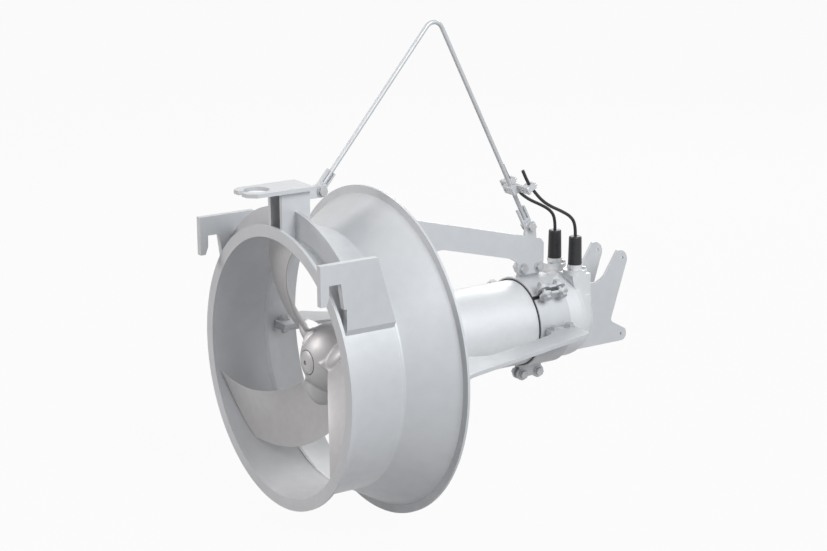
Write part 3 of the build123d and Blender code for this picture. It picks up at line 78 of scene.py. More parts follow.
class Slot(Enum):
    """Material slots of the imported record."""

    SHEET = "painted_steel"
    CASTING = "cast_steel"
    PROPELLER = "propeller_steel"
    FASTENER = "fastener_steel"
    BRIGHT = "bright_steel"
    BEARING = "bearing_steel"
    LAMINATION = "lamination_steel"
    COPPER = "copper"
    CARBIDE = "carbide"
    INSULATOR = "insulator"
    RUBBER = "rubber"
    CABLE = "cable_rubber"


class Trim(Enum):
    """Finishes of pieces that only the scene has."""

    WELD = "weld_metal"


class NodeBook:
    """Shader nodes and links of one material or group, laid out by short calls."""

    def __init__(self, tree: bpy.types.NodeTree) -> None:
        """Keep the tree.

        Args:
            tree: the node tree that gets the nodes.
        """
        self.tree = tree

    def add(self, kind: str, **values: object) -> bpy.types.Node:
        """Add a node.

        Args:
            kind: the node's bl_idname.
            values: attributes set on the node.

        Returns:
            The new node.
        """
        node = self.tree.nodes.new(kind)
        for name, value in values.items():
            setattr(node, name, value)
        return node

    def feed(self, node: bpy.types.Node, **inputs: object) -> bpy.types.Node:
        """Set or link inputs by name, with underscores for spaces.

        Args:
            node: the node whose inputs are set.
            inputs: a value, or the output socket to link.

        Returns:
            The same node.
        """
        for name, value in inputs.items():
            socket = node.inputs[name.replace("_", " ")]
            if isinstance(value, bpy.types.NodeSocket):
                self.tree.links.new(value, socket)
            else:
                socket.default_value = value
        return node

    def maths(self, operation: str, *terms: object) -> bpy.types.NodeSocket:
        """Add a Math node.

        Args:
            operation: the node's operation.
            terms: values or sockets for its inputs, in order.

        Returns:
            The result socket.
        """
        node = self.add("ShaderNodeMath", operation=operation)
        for socket, term in zip(node.inputs, terms):
            if isinstance(term, bpy.types.NodeSocket):
                self.tree.links.new(term, socket)
            else:
                socket.default_value = term
        return node.outputs[0]

    def ramp(
        self, source: bpy.types.NodeSocket, low: float, high: float, out: tuple[float, float] = (0.0, 1.0)
    ) -> bpy.types.NodeSocket:
        """Add a clamped Map Range node.

        Args:
            source: the value to map.
            low: the value that gives out's first number.
            high: the value that gives out's second number.
            out: the two results.

        Returns:
            The result socket.
        """
        node = self.add("ShaderNodeMapRange")
        self.feed(node, Value=source, From_Min=low, From_Max=high, To_Min=out[0], To_Max=out[1])
        return node.outputs[0]

    def mix(self, share: object, first: object, second: object) -> bpy.types.NodeSocket:
        """Mix two colours.

        Args:
            share: how much of the second, a value or a socket.
            first: a colour or a socket.
            second: a colour or a socket.

        Returns:
            The mixed colour.
        """
        node = self.add("ShaderNodeMix", data_type="RGBA")
        for socket, term in ((node.inputs[0], share), (node.inputs[6], first), (node.inputs[7], second)):
            if isinstance(term, bpy.types.NodeSocket):
                self.tree.links.new(term, socket)
            elif isinstance(term, tuple):
                socket.default_value = (*term, 1.0)
            else:
                socket.default_value = term
        return node.outputs[2]


class Effects:
    """Shader node groups that more than one finish uses."""

    def __init__(self) -> None:
        """Build each group once."""
        self.tone = self._cloud_tone()
        self.grain = self._bead_grain()
        self.highlight_and_wear = self._edge_highlight_and_wear()
        self.marks = self._handling_marks()

    @staticmethod
    def _start(
        name: str, inputs: dict[str, tuple[str, object]], outputs: dict[str, str]
    ) -> tuple[NodeBook, dict[str, bpy.types.NodeSocket], bpy.types.Node]:
        """Open a group with named sockets.

        Args:
            name: the group's name.
            inputs: socket name to its type and default.
            outputs: socket name to its type.

        Returns:
            The node book, the input sockets by name and the output node.
        """
        tree = bpy.data.node_groups.new(name, "ShaderNodeTree")
        for label, (kind, default) in inputs.items():
            socket = tree.interface.new_socket(label, in_out="INPUT", socket_type=kind)
            socket.default_value = default
        for label, kind in outputs.items():
            tree.interface.new_socket(label, in_out="OUTPUT", socket_type=kind)
        book = NodeBook(tree)
        source = book.add("NodeGroupInput")
        result = book.add("NodeGroupOutput")
        return book, {s.name: s for s in source.outputs if s.name}, result

    def _cloud_tone(self) -> bpy.types.NodeTree:
        """Soft cloudy change between two colours.

        Returns:
            The group.
        """
        book, given, result = self._start(
            "cloud_tone",
            {
                "Light": ("NodeSocketColor", (0.8, 0.8, 0.8, 1)),
                "Dark": ("NodeSocketColor", (0.6, 0.6, 0.6, 1)),
                "Scale": ("NodeSocketFloat", 6.0),
            },
            {"Color": "NodeSocketColor", "Mask": "NodeSocketFloat"},
        )
        place = book.add("ShaderNodeTexCoord").outputs["Object"]
        broad = book.feed(book.add("ShaderNodeTexNoise"), Vector=place, Scale=given["Scale"], Detail=3.0)
        fine_scale = book.maths("MULTIPLY", given["Scale"], 9.0)
        fine = book.feed(book.add("ShaderNodeTexNoise"), Vector=place, Scale=fine_scale, Detail=4.0)
        share = book.maths("MULTIPLY", fine.outputs[0], 0.3)
        blend = book.maths("ADD", book.maths("MULTIPLY", broad.outputs[0], 0.7), share)
        mask = book.ramp(blend, 0.36, 0.64)
        book.tree.links.new(mask, result.inputs["Mask"])
        book.tree.links.new(book.mix(mask, given["Light"], given["Dark"]), result.inputs["Color"])
        return book.tree

    def _bead_grain(self) -> bpy.types.NodeTree:
        """Small close dimples with a slower swell below them.

        Returns:
            The group.
        """
        book, given, result = self._start(
            "bead_grain",
            {"Scale": ("NodeSocketFloat", 900.0), "Swell": ("NodeSocketFloat", 0.3)},
            {"Height": "NodeSocketFloat"},
        )
        place = book.add("ShaderNodeTexCoord").outputs["Object"]
        cells = book.add("ShaderNodeTexVoronoi", feature="SMOOTH_F1")
        book.feed(cells, Vector=place, Scale=given["Scale"])
        slow_scale = book.maths("MULTIPLY", given["Scale"], 0.06)
        slow = book.feed(book.add("ShaderNodeTexNoise"), Vector=place, Scale=slow_scale, Detail=3.0)
        swell = book.maths("MULTIPLY", slow.outputs[0], given["Swell"])
        book.tree.links.new(book.maths("ADD", cells.outputs[0], swell), result.inputs["Height"])
        return book.tree

    def _edge_highlight_and_wear(self) -> bpy.types.NodeTree:
        """Mask that is 1 along outer and inner edges, broken by noise. The finishes use it for a painted
        highlight along the edges that partly stands for wear.

        Returns:
            The group.
        """
        book, given, result = self._start(
            "edge_highlight_and_wear",
            {"Radius": ("NodeSocketFloat", 0.0015), "Patchiness": ("NodeSocketFloat", 45.0)},
            {"Mask": "NodeSocketFloat"},
        )
        rounded = book.feed(book.add("ShaderNodeBevel", samples=4), Radius=given["Radius"])
        flat = book.add("ShaderNodeNewGeometry").outputs["Normal"]
        alike = book.add("ShaderNodeVectorMath", operation="DOT_PRODUCT")
        book.tree.links.new(rounded.outputs[0], alike.inputs[0])
        book.tree.links.new(flat, alike.inputs[1])
        # Edges found from the bevel normal; the finishes lighten them here, a painted highlight along the
        # edges that partly stands for wear.
        edge = book.ramp(alike.outputs["Value"], 0.95, 0.8)
        place = book.add("ShaderNodeTexCoord").outputs["Object"]
        patch = book.feed(book.add("ShaderNodeTexNoise"), Vector=place, Scale=given["Patchiness"], Detail=4.0)
        broken = book.ramp(patch.outputs[0], 0.3, 0.6, (0.35, 1.0))
        book.tree.links.new(book.maths("MULTIPLY", edge, broken), result.inputs["Mask"])
        return book.tree

    def _handling_marks(self) -> bpy.types.NodeTree:
        """Thin long marks in one direction, sparse and faint.

        Returns:
            The group.
        """
        book, given, result = self._start(
            "handling_marks",
            {"Scale": ("NodeSocketFloat", 30.0), "Stretch": ("NodeSocketVector", (1.0, 1.0, 12.0))},
            {"Mask": "NodeSocketFloat"},
        )
        place = book.add("ShaderNodeTexCoord").outputs["Object"]
        drawn = book.add("ShaderNodeVectorMath", operation="MULTIPLY")
        book.tree.links.new(place, drawn.inputs[0])
        book.tree.links.new(given["Stretch"], drawn.inputs[1])
        lines = book.add("ShaderNodeTexNoise")
        book.feed(lines, Vector=drawn.outputs[0], Scale=given["Scale"], Detail=5.0, Roughness=0.7)
        book.tree.links.new(book.ramp(lines.outputs[0], 0.56, 0.72), result.inputs["Mask"])
        return book.tree


@dataclass(frozen=True)
class SteelFinish:
    """Blasted, cast, drawn or polished steel."""

    name: str
    light: Colour
    dark: Colour
    # Lighter colour along the edges: a painted highlight that partly stands for wear.
    edge: Colour
    roughness: tuple[float, float] = (0.42, 0.56)
    metallic: float = 0.22
    tone_scale: float = 3.0
    grain_scale: float = 700.0
    grain_depth: float = 0.00006
    swell: float = 0.3
    edge_radius: float = 0.0016
    stretch: Point = (1.0, 1.0, 9.0)
    mark_share: float = 0.25
    mark_gloss: float = 0.2
    bump_strength: float = 0.6

    def build(self, effects: Effects) -> bpy.types.Material:
        """Make the material.

        Args:
            effects: the shared node groups.

        Returns:
            The material.
        """
        material = bpy.data.materials.new(self.name)
        material.use_nodes = True
        book = NodeBook(material.node_tree)
        shader = next(n for n in book.tree.nodes if n.type == "BSDF_PRINCIPLED")
        tone = book.add("ShaderNodeGroup", node_tree=effects.tone)
        book.feed(tone, Light=(*self.light, 1.0), Dark=(*self.dark, 1.0), Scale=self.tone_scale)
        highlight_and_wear = book.feed(book.add("ShaderNodeGroup", node_tree=effects.highlight_and_wear), Radius=self.edge_radius)
        marks = book.feed(book.add("ShaderNodeGroup", node_tree=effects.marks), Stretch=self.stretch)
        grain = book.add("ShaderNodeGroup", node_tree=effects.grain)
        book.feed(grain, Scale=self.grain_scale, Swell=self.swell)
        # Lighter colour along the edges, a painted edge highlight that partly stands for wear.
        lit_and_worn = book.mix(highlight_and_wear.outputs["Mask"], tone.outputs["Color"], self.edge)
        faint = book.maths("MULTIPLY", marks.outputs["Mask"], self.mark_share)
        colour = book.mix(faint, lit_and_worn, self.dark)
        low, high = self.roughness
        gloss = book.ramp(tone.outputs["Mask"], 0.0, 1.0, (low, high))
        gloss = book.maths("ADD", gloss, book.maths("MULTIPLY", faint, self.mark_gloss))
        bump = book.add("ShaderNodeBump")
        book.feed(
            bump, Height=grain.outputs["Height"], Strength=self.bump_strength, Distance=self.grain_depth
        )
        book.feed(shader, Base_Color=colour, Roughness=gloss, Normal=bump.outputs[0], Metallic=self.metallic)
        return material


@dataclass(frozen=True)
class RubberFinish:
    """Moulded rubber, plastic or varnish without a metal's shine."""

    name: str
    light: Colour
    dark: Colour
    roughness: tuple[float, float] = (0.4, 0.55)
    tone_scale: float = 20.0
    grain_scale: float = 1200.0
    grain_depth: float = 0.00004
    specular: float = 0.5
    edge_radius: float = 0.0008
    # How much and how far the rubber is lightened along its edges: a painted edge highlight that partly
    # stands for scuffing.
    highlight_and_rub_share: float = 0.35
    highlight_and_rub_gain: float = 2.2
    bump_strength: float = 0.5

    def build(self, effects: Effects) -> bpy.types.Material:
        """Make the material.

        Args:
            effects: the shared node groups.

        Returns:
            The material.
        """
        material = bpy.data.materials.new(self.name)
        material.use_nodes = True
        book = NodeBook(material.node_tree)
        shader = next(n for n in book.tree.nodes if n.type == "BSDF_PRINCIPLED")
        tone = book.add("ShaderNodeGroup", node_tree=effects.tone)
        book.feed(tone, Light=(*self.light, 1.0), Dark=(*self.dark, 1.0), Scale=self.tone_scale)
        highlight_and_wear = book.feed(book.add("ShaderNodeGroup", node_tree=effects.highlight_and_wear), Radius=self.edge_radius)
        grain = book.feed(book.add("ShaderNodeGroup", node_tree=effects.grain), Scale=self.grain_scale)
        # Lighter rubber along the edges, a painted edge highlight that partly stands for scuffing.
        lit_and_rubbed = book.maths("MULTIPLY", highlight_and_wear.outputs["Mask"], self.highlight_and_rub_share)
        pale = tuple(min(1.0, part * self.highlight_and_rub_gain) for part in self.light)
        colour = book.mix(lit_and_rubbed, tone.outputs["Color"], pale)
        low, high = self.roughness
        gloss = book.ramp(tone.outputs["Mask"], 0.0, 1.0, (low, high))
        bump = book.add("ShaderNodeBump")
        book.feed(
            bump, Height=grain.outputs["Height"], Strength=self.bump_strength, Distance=self.grain_depth
        )
        book.feed(shader, Base_Color=colour, Roughness=gloss, Normal=bump.outputs[0])
        shader.inputs["Specular IOR Level"].default_value = self.specular
        return material


class Palette:
    """Every finish of the pump, by material slot."""

    # The third colour of each steel finish is its lighter edge colour: a painted highlight along the edges
    # that partly stands for wear.
    FINISHES: dict[Slot | Trim, SteelFinish | RubberFinish] = {
        Trim.WELD: SteelFinish(
            "weld_metal", (0.66, 0.665, 0.67), (0.56, 0.565, 0.57), (0.7, 0.7, 0.7),
            roughness=(0.35, 0.45), metallic=0.4, tone_scale=60.0, grain_depth=0.00003, edge_radius=0.0005,
        ),
        Slot.SHEET: SteelFinish("blasted_sheet", (0.66, 0.67, 0.685), (0.6, 0.61, 0.625), (0.82, 0.82, 0.82)),
        Slot.CASTING: SteelFinish(
            "blasted_casting", (0.77, 0.775, 0.785), (0.71, 0.715, 0.725), (0.85, 0.85, 0.85),
            tone_scale=7.0, grain_scale=420.0, grain_depth=0.00012, swell=0.9,
        ),
        Slot.PROPELLER: SteelFinish(
            "ground_blade_steel", (0.6, 0.59, 0.595), (0.53, 0.52, 0.525), (0.72, 0.71, 0.71),
            roughness=(0.42, 0.54), metallic=0.4, tone_scale=5.0, stretch=(3.0, 3.0, 1.0), swell=0.6,
        ),
        Slot.FASTENER: SteelFinish(
            "satin_screw_steel", (0.58, 0.585, 0.595), (0.48, 0.485, 0.495), (0.72, 0.72, 0.72),
            roughness=(0.34, 0.45), metallic=0.5, tone_scale=40.0, grain_depth=0.00003, edge_radius=0.0008,
        ),
        Slot.BRIGHT: SteelFinish(
            "drawn_bar_steel", (0.6, 0.61, 0.62), (0.55, 0.56, 0.57), (0.62, 0.63, 0.64),
            roughness=(0.4, 0.5), metallic=0.35, tone_scale=14.0, grain_depth=0.00001, edge_radius=0.0006,
            mark_share=0.06,
        ),
        Slot.BEARING: SteelFinish(
            "polished_race_steel", (0.72, 0.72, 0.73), (0.66, 0.66, 0.67), (0.8, 0.8, 0.8),
            roughness=(0.1, 0.16), metallic=1.0, tone_scale=30.0, grain_depth=0.00001, edge_radius=0.0005,
        ),
        Slot.LAMINATION: SteelFinish(
            "varnished_laminations", (0.2, 0.19, 0.18), (0.13, 0.12, 0.12), (0.3, 0.28, 0.26),
            roughness=(0.35, 0.5), metallic=0.4, stretch=(60.0, 1.0, 1.0), mark_share=0.6,
        ),
        Slot.COPPER: SteelFinish(
            "varnished_copper", (0.6, 0.27, 0.13), (0.42, 0.17, 0.08), (0.75, 0.4, 0.2),
            roughness=(0.3, 0.45), metallic=0.8, stretch=(8.0, 30.0, 30.0), mark_share=0.5,
        ),
        Slot.CARBIDE: SteelFinish(
            "lapped_carbide", (0.12, 0.12, 0.13), (0.08, 0.08, 0.09), (0.2, 0.2, 0.2),
            roughness=(0.18, 0.28), metallic=0.2, tone_scale=30.0, grain_depth=0.00001,
        ),
        Slot.INSULATOR: RubberFinish("moulded_insulator", (0.66, 0.62, 0.5), (0.58, 0.54, 0.43)),
        Slot.RUBBER: RubberFinish("moulded_rubber", (0.022, 0.022, 0.024), (0.013, 0.013, 0.014)),
        Slot.CABLE: RubberFinish(
            "cable_sheath", (0.018, 0.018, 0.02), (0.011, 0.011, 0.012), roughness=(0.34, 0.46),
        ),
    }

    def __init__(self) -> None:
        """Build every finish."""
        effects = Effects()
        self.materials = {slot: finish.build(effects) for slot, finish in self.FINISHES.items()}

    def coat(self, thing: bpy.types.Object, slot: Slot | Trim) -> None:
        """Give an object one finish.

        Args:
            thing: the object.
            slot: the finish's slot.
        """
        thing.data.materials.clear()
        thing.data.materials.append(self.materials[slot])


class WeldKit:
    """Lays weld metal along paths with one Geometry Nodes group."""

    RIPPLE_SEGMENTS = 8
    RIPPLE_RINGS = 5
    RIPPLE_LENGTH = 2.4
    WIDTH_SPREAD = (0.85, 1.12)

    def __init__(self) -> None:
        """Build the group: ripples of metal set close together along a path."""
        tree = bpy.data.node_groups.new("weld_run", "GeometryNodeTree")
        ask = tree.interface.new_socket
        ask("Geometry", in_out="INPUT", socket_type="NodeSocketGeometry")
        self.width = ask("Width", in_out="INPUT", socket_type="NodeSocketFloat").identifier
        self.pitch = ask("Pitch", in_out="INPUT", socket_type="NodeSocketFloat").identifier
        self.finish = ask("Finish", in_out="INPUT", socket_type="NodeSocketMaterial").identifier
        ask("Geometry", in_out="OUTPUT", socket_type="NodeSocketGeometry")
        self.tree = tree
        book = NodeBook(tree)
        given = {s.name: s for s in book.add("NodeGroupInput").outputs if s.name}
        line = book.feed(book.add("GeometryNodeMeshToCurve"), Mesh=given["Geometry"])
        dots = book.add("GeometryNodeResampleCurve", mode="LENGTH")
        book.feed(dots, Curve=line.outputs[0], Length=given["Pitch"])
        ripple = book.feed(book.add("GeometryNodeMeshUVSphere"), Radius=0.5)
        book.feed(ripple, Segments=self.RIPPLE_SEGMENTS, Rings=self.RIPPLE_RINGS)
        lean = book.add("FunctionNodeAlignRotationToVector", axis="Z")
        book.feed(lean, Vector=book.add("GeometryNodeInputTangent").outputs[0])
        uneven = book.add("FunctionNodeRandomValue", data_type="FLOAT")
        low, high = (s for s in uneven.inputs if s.name in ("Min", "Max") and s.type == "VALUE")
        low.default_value, high.default_value = self.WIDTH_SPREAD
        across = book.maths("MULTIPLY", given["Width"], next(s for s in uneven.outputs if s.type == "VALUE"))
        along = book.maths("MULTIPLY", given["Pitch"], self.RIPPLE_LENGTH)
        size = book.feed(book.add("ShaderNodeCombineXYZ"), X=across, Y=across, Z=along)
        beads = book.add("GeometryNodeInstanceOnPoints")
        book.feed(beads, Points=dots.outputs[0], Instance=ripple.outputs[0])
        book.feed(beads, Rotation=lean.outputs[0], Scale=size.outputs[0])
        solid = book.feed(book.add("GeometryNodeRealizeInstances"), Geometry=beads.outputs[0])
        smooth = book.feed(book.add("GeometryNodeSetShadeSmooth"), Geometry=solid.outputs[0])
        coated = book.feed(
            book.add("GeometryNodeSetMaterial"), Geometry=smooth.outputs[0], Material=given["Finish"]
        )
        book.feed(book.add("NodeGroupOutput"), Geometry=coated.outputs[0])

    def run(
        self, name: str, paths: list[list[Point]], finish: bpy.types.Material, width: float, pitch: float
    ) -> bpy.types.Object:
        """Lay weld metal along open paths, as one plain mesh.

        Args:
            name: the new object's name.
            paths: points of each path.
            finish: the material.
            width: how wide the bead is.
            pitch: distance between ripples.

        Returns:
            The bead.
        """
        guide = bpy.data.meshes.new(f"{name}_path")
        points: list[Point] = []
        edges: list[tuple[int, int]] = []
        for path in paths:
            edges += [(len(points) + i, len(points) + i + 1) for i in range(len(path) - 1)]
            points += path
        guide.from_pydata(points, edges, [])
        bead = bpy.data.objects.new(name, guide)
        bpy.context.scene.collection.objects.link(bead)
        nodes = bead.modifiers.new("weld_run", "NODES")
        nodes.node_group = self.tree
        nodes[self.width] = width
        nodes[self.pitch] = pitch
        nodes[self.finish] = finish
        graph = bpy.context.evaluated_depsgraph_get()
        graph.update()
        plain = bpy.data.meshes.new_from_object(bead.evaluated_get(graph), depsgraph=graph)
        bead.modifiers.clear()
        bead.data = plain
        plain.name = name
        bpy.data.meshes.remove(guide)
        return bead


@dataclass
class SubAssembly:
    """A group of frame nodes with its finishes."""

    palette: Palette
    nodes: dict[str, bpy.types.Object]
    body: Body = Body.FRAME

    def finishes(self) -> dict[Slot, tuple[str, ...]]:
        """Slot of each of its nodes."""
        return {}

    def build(self) -> list[bpy.types.Object]:
        """Build the pieces that the frame lacks."""
        return []

    def dress(self) -> None:
        """Give each node its finish, then build and report the extra pieces."""
        for slot, names in self.finishes().items():
            for name in names:
                self.palette.coat(self.nodes[name], slot)
                LOG.info("node %s: %s", name, slot.value)
        for piece in self.build():
            LOG.info("piece %s: %d vertices", piece.name, len(getattr(piece.data, "vertices", ())))


@dataclass
class ThroatUnit(SubAssembly):
    """Discharge ring, throat shell, inlet bell, hooks, column and guide plate."""

    bore_r: float = 0.400
    shell_r: float = 0.405
    ring_x: float = 0.010
    bell_x: float = 0.190
    stiffener_start: float = 6.2
    stiffener_end: float = 59.4
    pitch_share: float = 0.8
    arc_step: float = 2.0
    fewest_steps: int = 8
    column_steps: int = 12

    def finishes(self) -> dict[Slot, tuple[str, ...]]:
        """Slot of each of its nodes.

        Returns:
            The nodes' names by slot.
        """
        return {
            Slot.SHEET: (
                "discharge_ring", "throat_shell", "inlet_bell", "bell_brackets", "hook_left", "hook_right",
                "lift_column", "guide_plate", "stiffener_left", "stiffener_right",
            )
        }

    def build(self) -> list[bpy.types.Object]:
        """Weld the sheets of the throat together.

        Returns:
            The weld beads.
        """
        kit = WeldKit()
        seams = (
            ("ring_weld", [self._hoop(self.ring_x, self.shell_r)], 0.007),
            ("inner_bell_weld", [self._hoop(self.bell_x, self.bore_r)], 0.0045),
            ("stiffener_welds", self._stiffener_feet(), 0.006),
            ("column_weld", [self._column_foot()], 0.007),
        )
        beads = []
        for name, paths, width in seams:
            bead = kit.run(name, paths, self.palette.materials[Trim.WELD], width, self.pitch_share * width)
            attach(bead, self.body.value)
            beads.append(bead)
        return beads

    def _hoop(self, x: float, radius: float, start: float = 0.0, end: float = 360.0) -> list[Point]:
        """Arc about the pump axis.

        Args:
            x: its place along the axis.
            radius: its radius.
            start: first angle from the top, positive towards +Y.
            end: last angle.

        Returns:
            Its points.
        """
        steps = max(self.fewest_steps, round(abs(end - start) / self.arc_step))
        turns = [radians(start + (end - start) * i / steps) for i in range(steps + 1)]
        return [(x, radius * sin(turn), radius * cos(turn)) for turn in turns]

    def _stiffener_feet(self) -> list[list[Point]]:
        """Lines where both faces of each stiffener meet the shell.

        Returns:
            One arc for each face.
        """
        faces = [corner[0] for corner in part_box("stiffener_left")]
        return [
            self._hoop(x, self.shell_r, side * self.stiffener_start, side * self.stiffener_end)
            for x in faces
            for side in (-1, 1)
        ]

    def _column_foot(self) -> list[Point]:
        """Line round the lifting column's foot, on the shell.

        Returns:
            Its points, from the front round the back to the front.
        """
        low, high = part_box("lift_column")
        half, steps = high[1], self.column_steps
        outline = [(low[0], half), (high[0], half)]
        outline += [(high[0], half - 2 * half * i / steps) for i in range(1, steps)]
        outline += [(high[0], -half), (low[0], -half)]
        return [(x, y, sqrt(self.shell_r**2 - y**2)) for x, y in outline]


@dataclass(frozen=True)
class BladeStation:
    """One flat section through a blade, square to the direction that it points in."""

    middle: Vector
    along: Vector
    out: Vector
    half_chord: float
    half_thick: float
    bow: float


@dataclass
class CastPropeller:
    """Ball hub with three flat swellings, and three blades that run out of it in soft fillets.

    Lengths are in metres and angles in degrees. The edge curves are polynomials in the share of the
    blade's height.
    """

    ball_x: float = 0.213
    ball_r: float = 0.110
    collar_r: float = 0.072
    rear_x: float = 0.300
    nose_r: float = 0.037
    recess_r: float = 0.0395
    recess_depth: float = 0.011
    bore_r: float = 0.0282
    swelling: Point = (0.030, 0.072, 0.072)
    swelling_x: float = 0.190
    swelling_rise: float = 0.089
    swelling_angle: float = -178.0
    swelling_lean: float = 35.0
    blades: int = 3
    root_r: float = 0.072
    tip_r: float = 0.395
    root_thick: float = 0.017
    tip_thick: float = 0.007
    edge_thick: float = 0.0026
    camber: float = 0.03
    leading_angle: tuple[float, ...] = (-148.6, 56.1, -20.1, 7.0)
    leading_x: tuple[float, ...] = (0.1422, -0.2183, 0.0925)
    trailing_angle: tuple[float, ...] = (-233.1, 95.2, 3.4, -5.6)
    trailing_x: tuple[float, ...] = (0.2953, -0.2790, 0.0519)
    first_share: float = -0.1
    stub_share: float = 0.3
    fillet_rise: float = 0.013
    fillet_reach: float = 0.013
    fillet_sink: float = 0.0012
    fillet_floor: float = -0.01
    fillet_chord_share: float = 0.7
    tip_search: tuple[float, float] = (0.8, 1.2)
    tip_halvings: int = 24
    cutter_overrun: float = 0.02
    ball_steps: int = 40
    lathe_steps: int = 128
    swelling_segments: int = 64
    swelling_rings: int = 32
    smooth_factor: float = 0.5
    sharp_angle: float = 32.0
    voxel: float = 0.0026
    smoothing: int = 9
    rows: int = 36
    columns: int = 25

    def station(self, share: float) -> BladeStation:
        """Section at one share of the blade's height.

        Args:
            share: 0 at the root radius, 1 at the tip.

        Returns:
            The section.
        """
        lead, trail = (
            (self._curve(angle, share), self._curve(place, share))
            for angle, place in ((self.leading_angle, self.leading_x), (self.trailing_angle, self.trailing_x))
        )
        radius = self.root_r + (self.tip_r - self.root_r) * share
        turn, half = radians((lead[0] + trail[0]) / 2), radians((lead[0] - trail[0]) / 2)
        up = Vector((0.0, -sin(turn), cos(turn)))
        across = Vector((0.0, -cos(turn), -sin(turn)))
        along = across * (radius * sin(half)) + Vector(((lead[1] - trail[1]) / 2, 0.0, 0.0))
        thick = self.root_thick + (self.tip_thick - self.root_thick) * max(0.0, share)
        middle = up * (radius * cos(half)) + Vector(((lead[1] + trail[1]) / 2, 0.0, 0.0))
        half_chord, heading = along.length, along.normalized()
        return BladeStation(
            middle, heading, up.cross(heading), half_chord, thick / 2, self.camber * 2 * half_chord
        )

    @staticmethod
    def _curve(terms: tuple[float, ...], share: float) -> float:
        """Value of a polynomial in the share.

        Args:
            terms: its terms, from the constant up.
            share: share of the blade's height.

        Returns:
            The value.
        """
        return sum(term * share**power for power, term in enumerate(terms))

    def skin(self, share: float, across: float, side: int, swollen: bool = False) -> Vector:
        """Point on a blade's skin.

        Args:
            share: share of the height.
            across: -1 at the trailing edge, 1 at the leading edge.
            side: 1 or -1, which face.
            swollen: whether it is the fillet's stub, not the blade itself.

        Returns:
            The point.
        """
        here = self.station(share)
        end = side * self.edge_thick / 2
        rise = here.bow + side * here.half_thick - end
        bend = (here.half_chord**2 + rise**2) / (2 * abs(rise))
        place = across * here.half_chord
        lift = sqrt(max(0.0, bend**2 - place**2)) - (bend - abs(rise))
        height = end + (lift if rise > 0 else -lift)
        point = here.middle + here.along * place + here.out * height
        if not swollen:
            return point
        away = (point - Vector((self.ball_x, 0.0, 0.0))).length - self.ball_r
        fade = exp(-max(self.fillet_floor, away) / self.fillet_reach)
        extra = self.fillet_rise * fade - self.fillet_sink
        spread = self.fillet_chord_share * across * extra
        return point + here.out * (side * extra) + here.along * spread

    def _reach(self, across: float, side: int, last: float | None) -> float:
        """Share at which a line up the blade meets the tip's cylinder.

        Args:
            across: place over the chord.
            side: which face.
            last: a share to stop at instead.

        Returns:
            The share.
        """
        if last is not None:
            return last
        low, high = self.tip_search
        for _ in range(self.tip_halvings):
            share = (low + high) / 2
            point = self.skin(share, across, side)
            low, high = (share, high) if point.y**2 + point.z**2 < self.tip_r**2 else (low, share)
        return low

    def add_blade(self, mesh: bmesh.types.BMesh, turn: float, last: float | None = None) -> None:
        """Add one closed blade, or its swollen stub.

        Args:
            mesh: the mesh it is added to.
            turn: its turn about the pump axis, in degrees.
            last: where the stub ends, or None for the whole blade.
        """
        spin = Matrix.Rotation(radians(turn), 3, "X")
        lines = [(-1 + 2 * i / (self.columns - 1), 1) for i in range(self.columns)]
        lines += [(across, -1) for across, _ in reversed(lines)]
        swollen = last is not None
        grid = []
        for across, side in lines:
            top = self._reach(across, side, last)
            shares = [
                self.first_share + (top - self.first_share) * i / (self.rows - 1) for i in range(self.rows)
            ]
            grid.append([mesh.verts.new(spin @ self.skin(share, across, side, swollen)) for share in shares])
        count = len(lines)
        faces = [
            mesh.faces.new((line[j], beside[j], beside[j + 1], line[j + 1]))
            for line, beside in zip(grid, grid[1:] + grid[:1])
            for j in range(self.rows - 1)
        ]
        for row in (0, self.rows - 1):
            for i in range(self.columns - 1):
                k = count - 1 - i
                faces.append(mesh.faces.new((grid[i][row], grid[i + 1][row], grid[k - 1][row], grid[k][row])))
        bmesh.ops.recalc_face_normals(mesh, faces=faces)

    def _lathe(self, mesh: bmesh.types.BMesh, profile: list[tuple[float, float]]) -> None:
        """Add a solid turned about the pump axis.

        Args:
            mesh: the mesh it is added to.
            profile: (x, radius) points that start and end on the axis.
        """
        steps = self.lathe_steps
        first, last = (mesh.verts.new((x, 0.0, 0.0)) for x in (profile[0][0], profile[-1][0]))
        rings = [
            [
                mesh.verts.new((x, r * sin(2 * pi * i / steps), r * cos(2 * pi * i / steps)))
                for i in range(steps)
            ]
            for x, r in profile[1:-1]
        ]
        faces = []
        for i in range(steps):
            k = (i + 1) % steps
            faces.append(mesh.faces.new((first, rings[0][i], rings[0][k])))
            faces += [mesh.faces.new((a[i], b[i], b[k], a[k])) for a, b in zip(rings, rings[1:])]
            faces.append(mesh.faces.new((last, rings[-1][k], rings[-1][i])))
        bmesh.ops.recalc_face_normals(mesh, faces=faces)

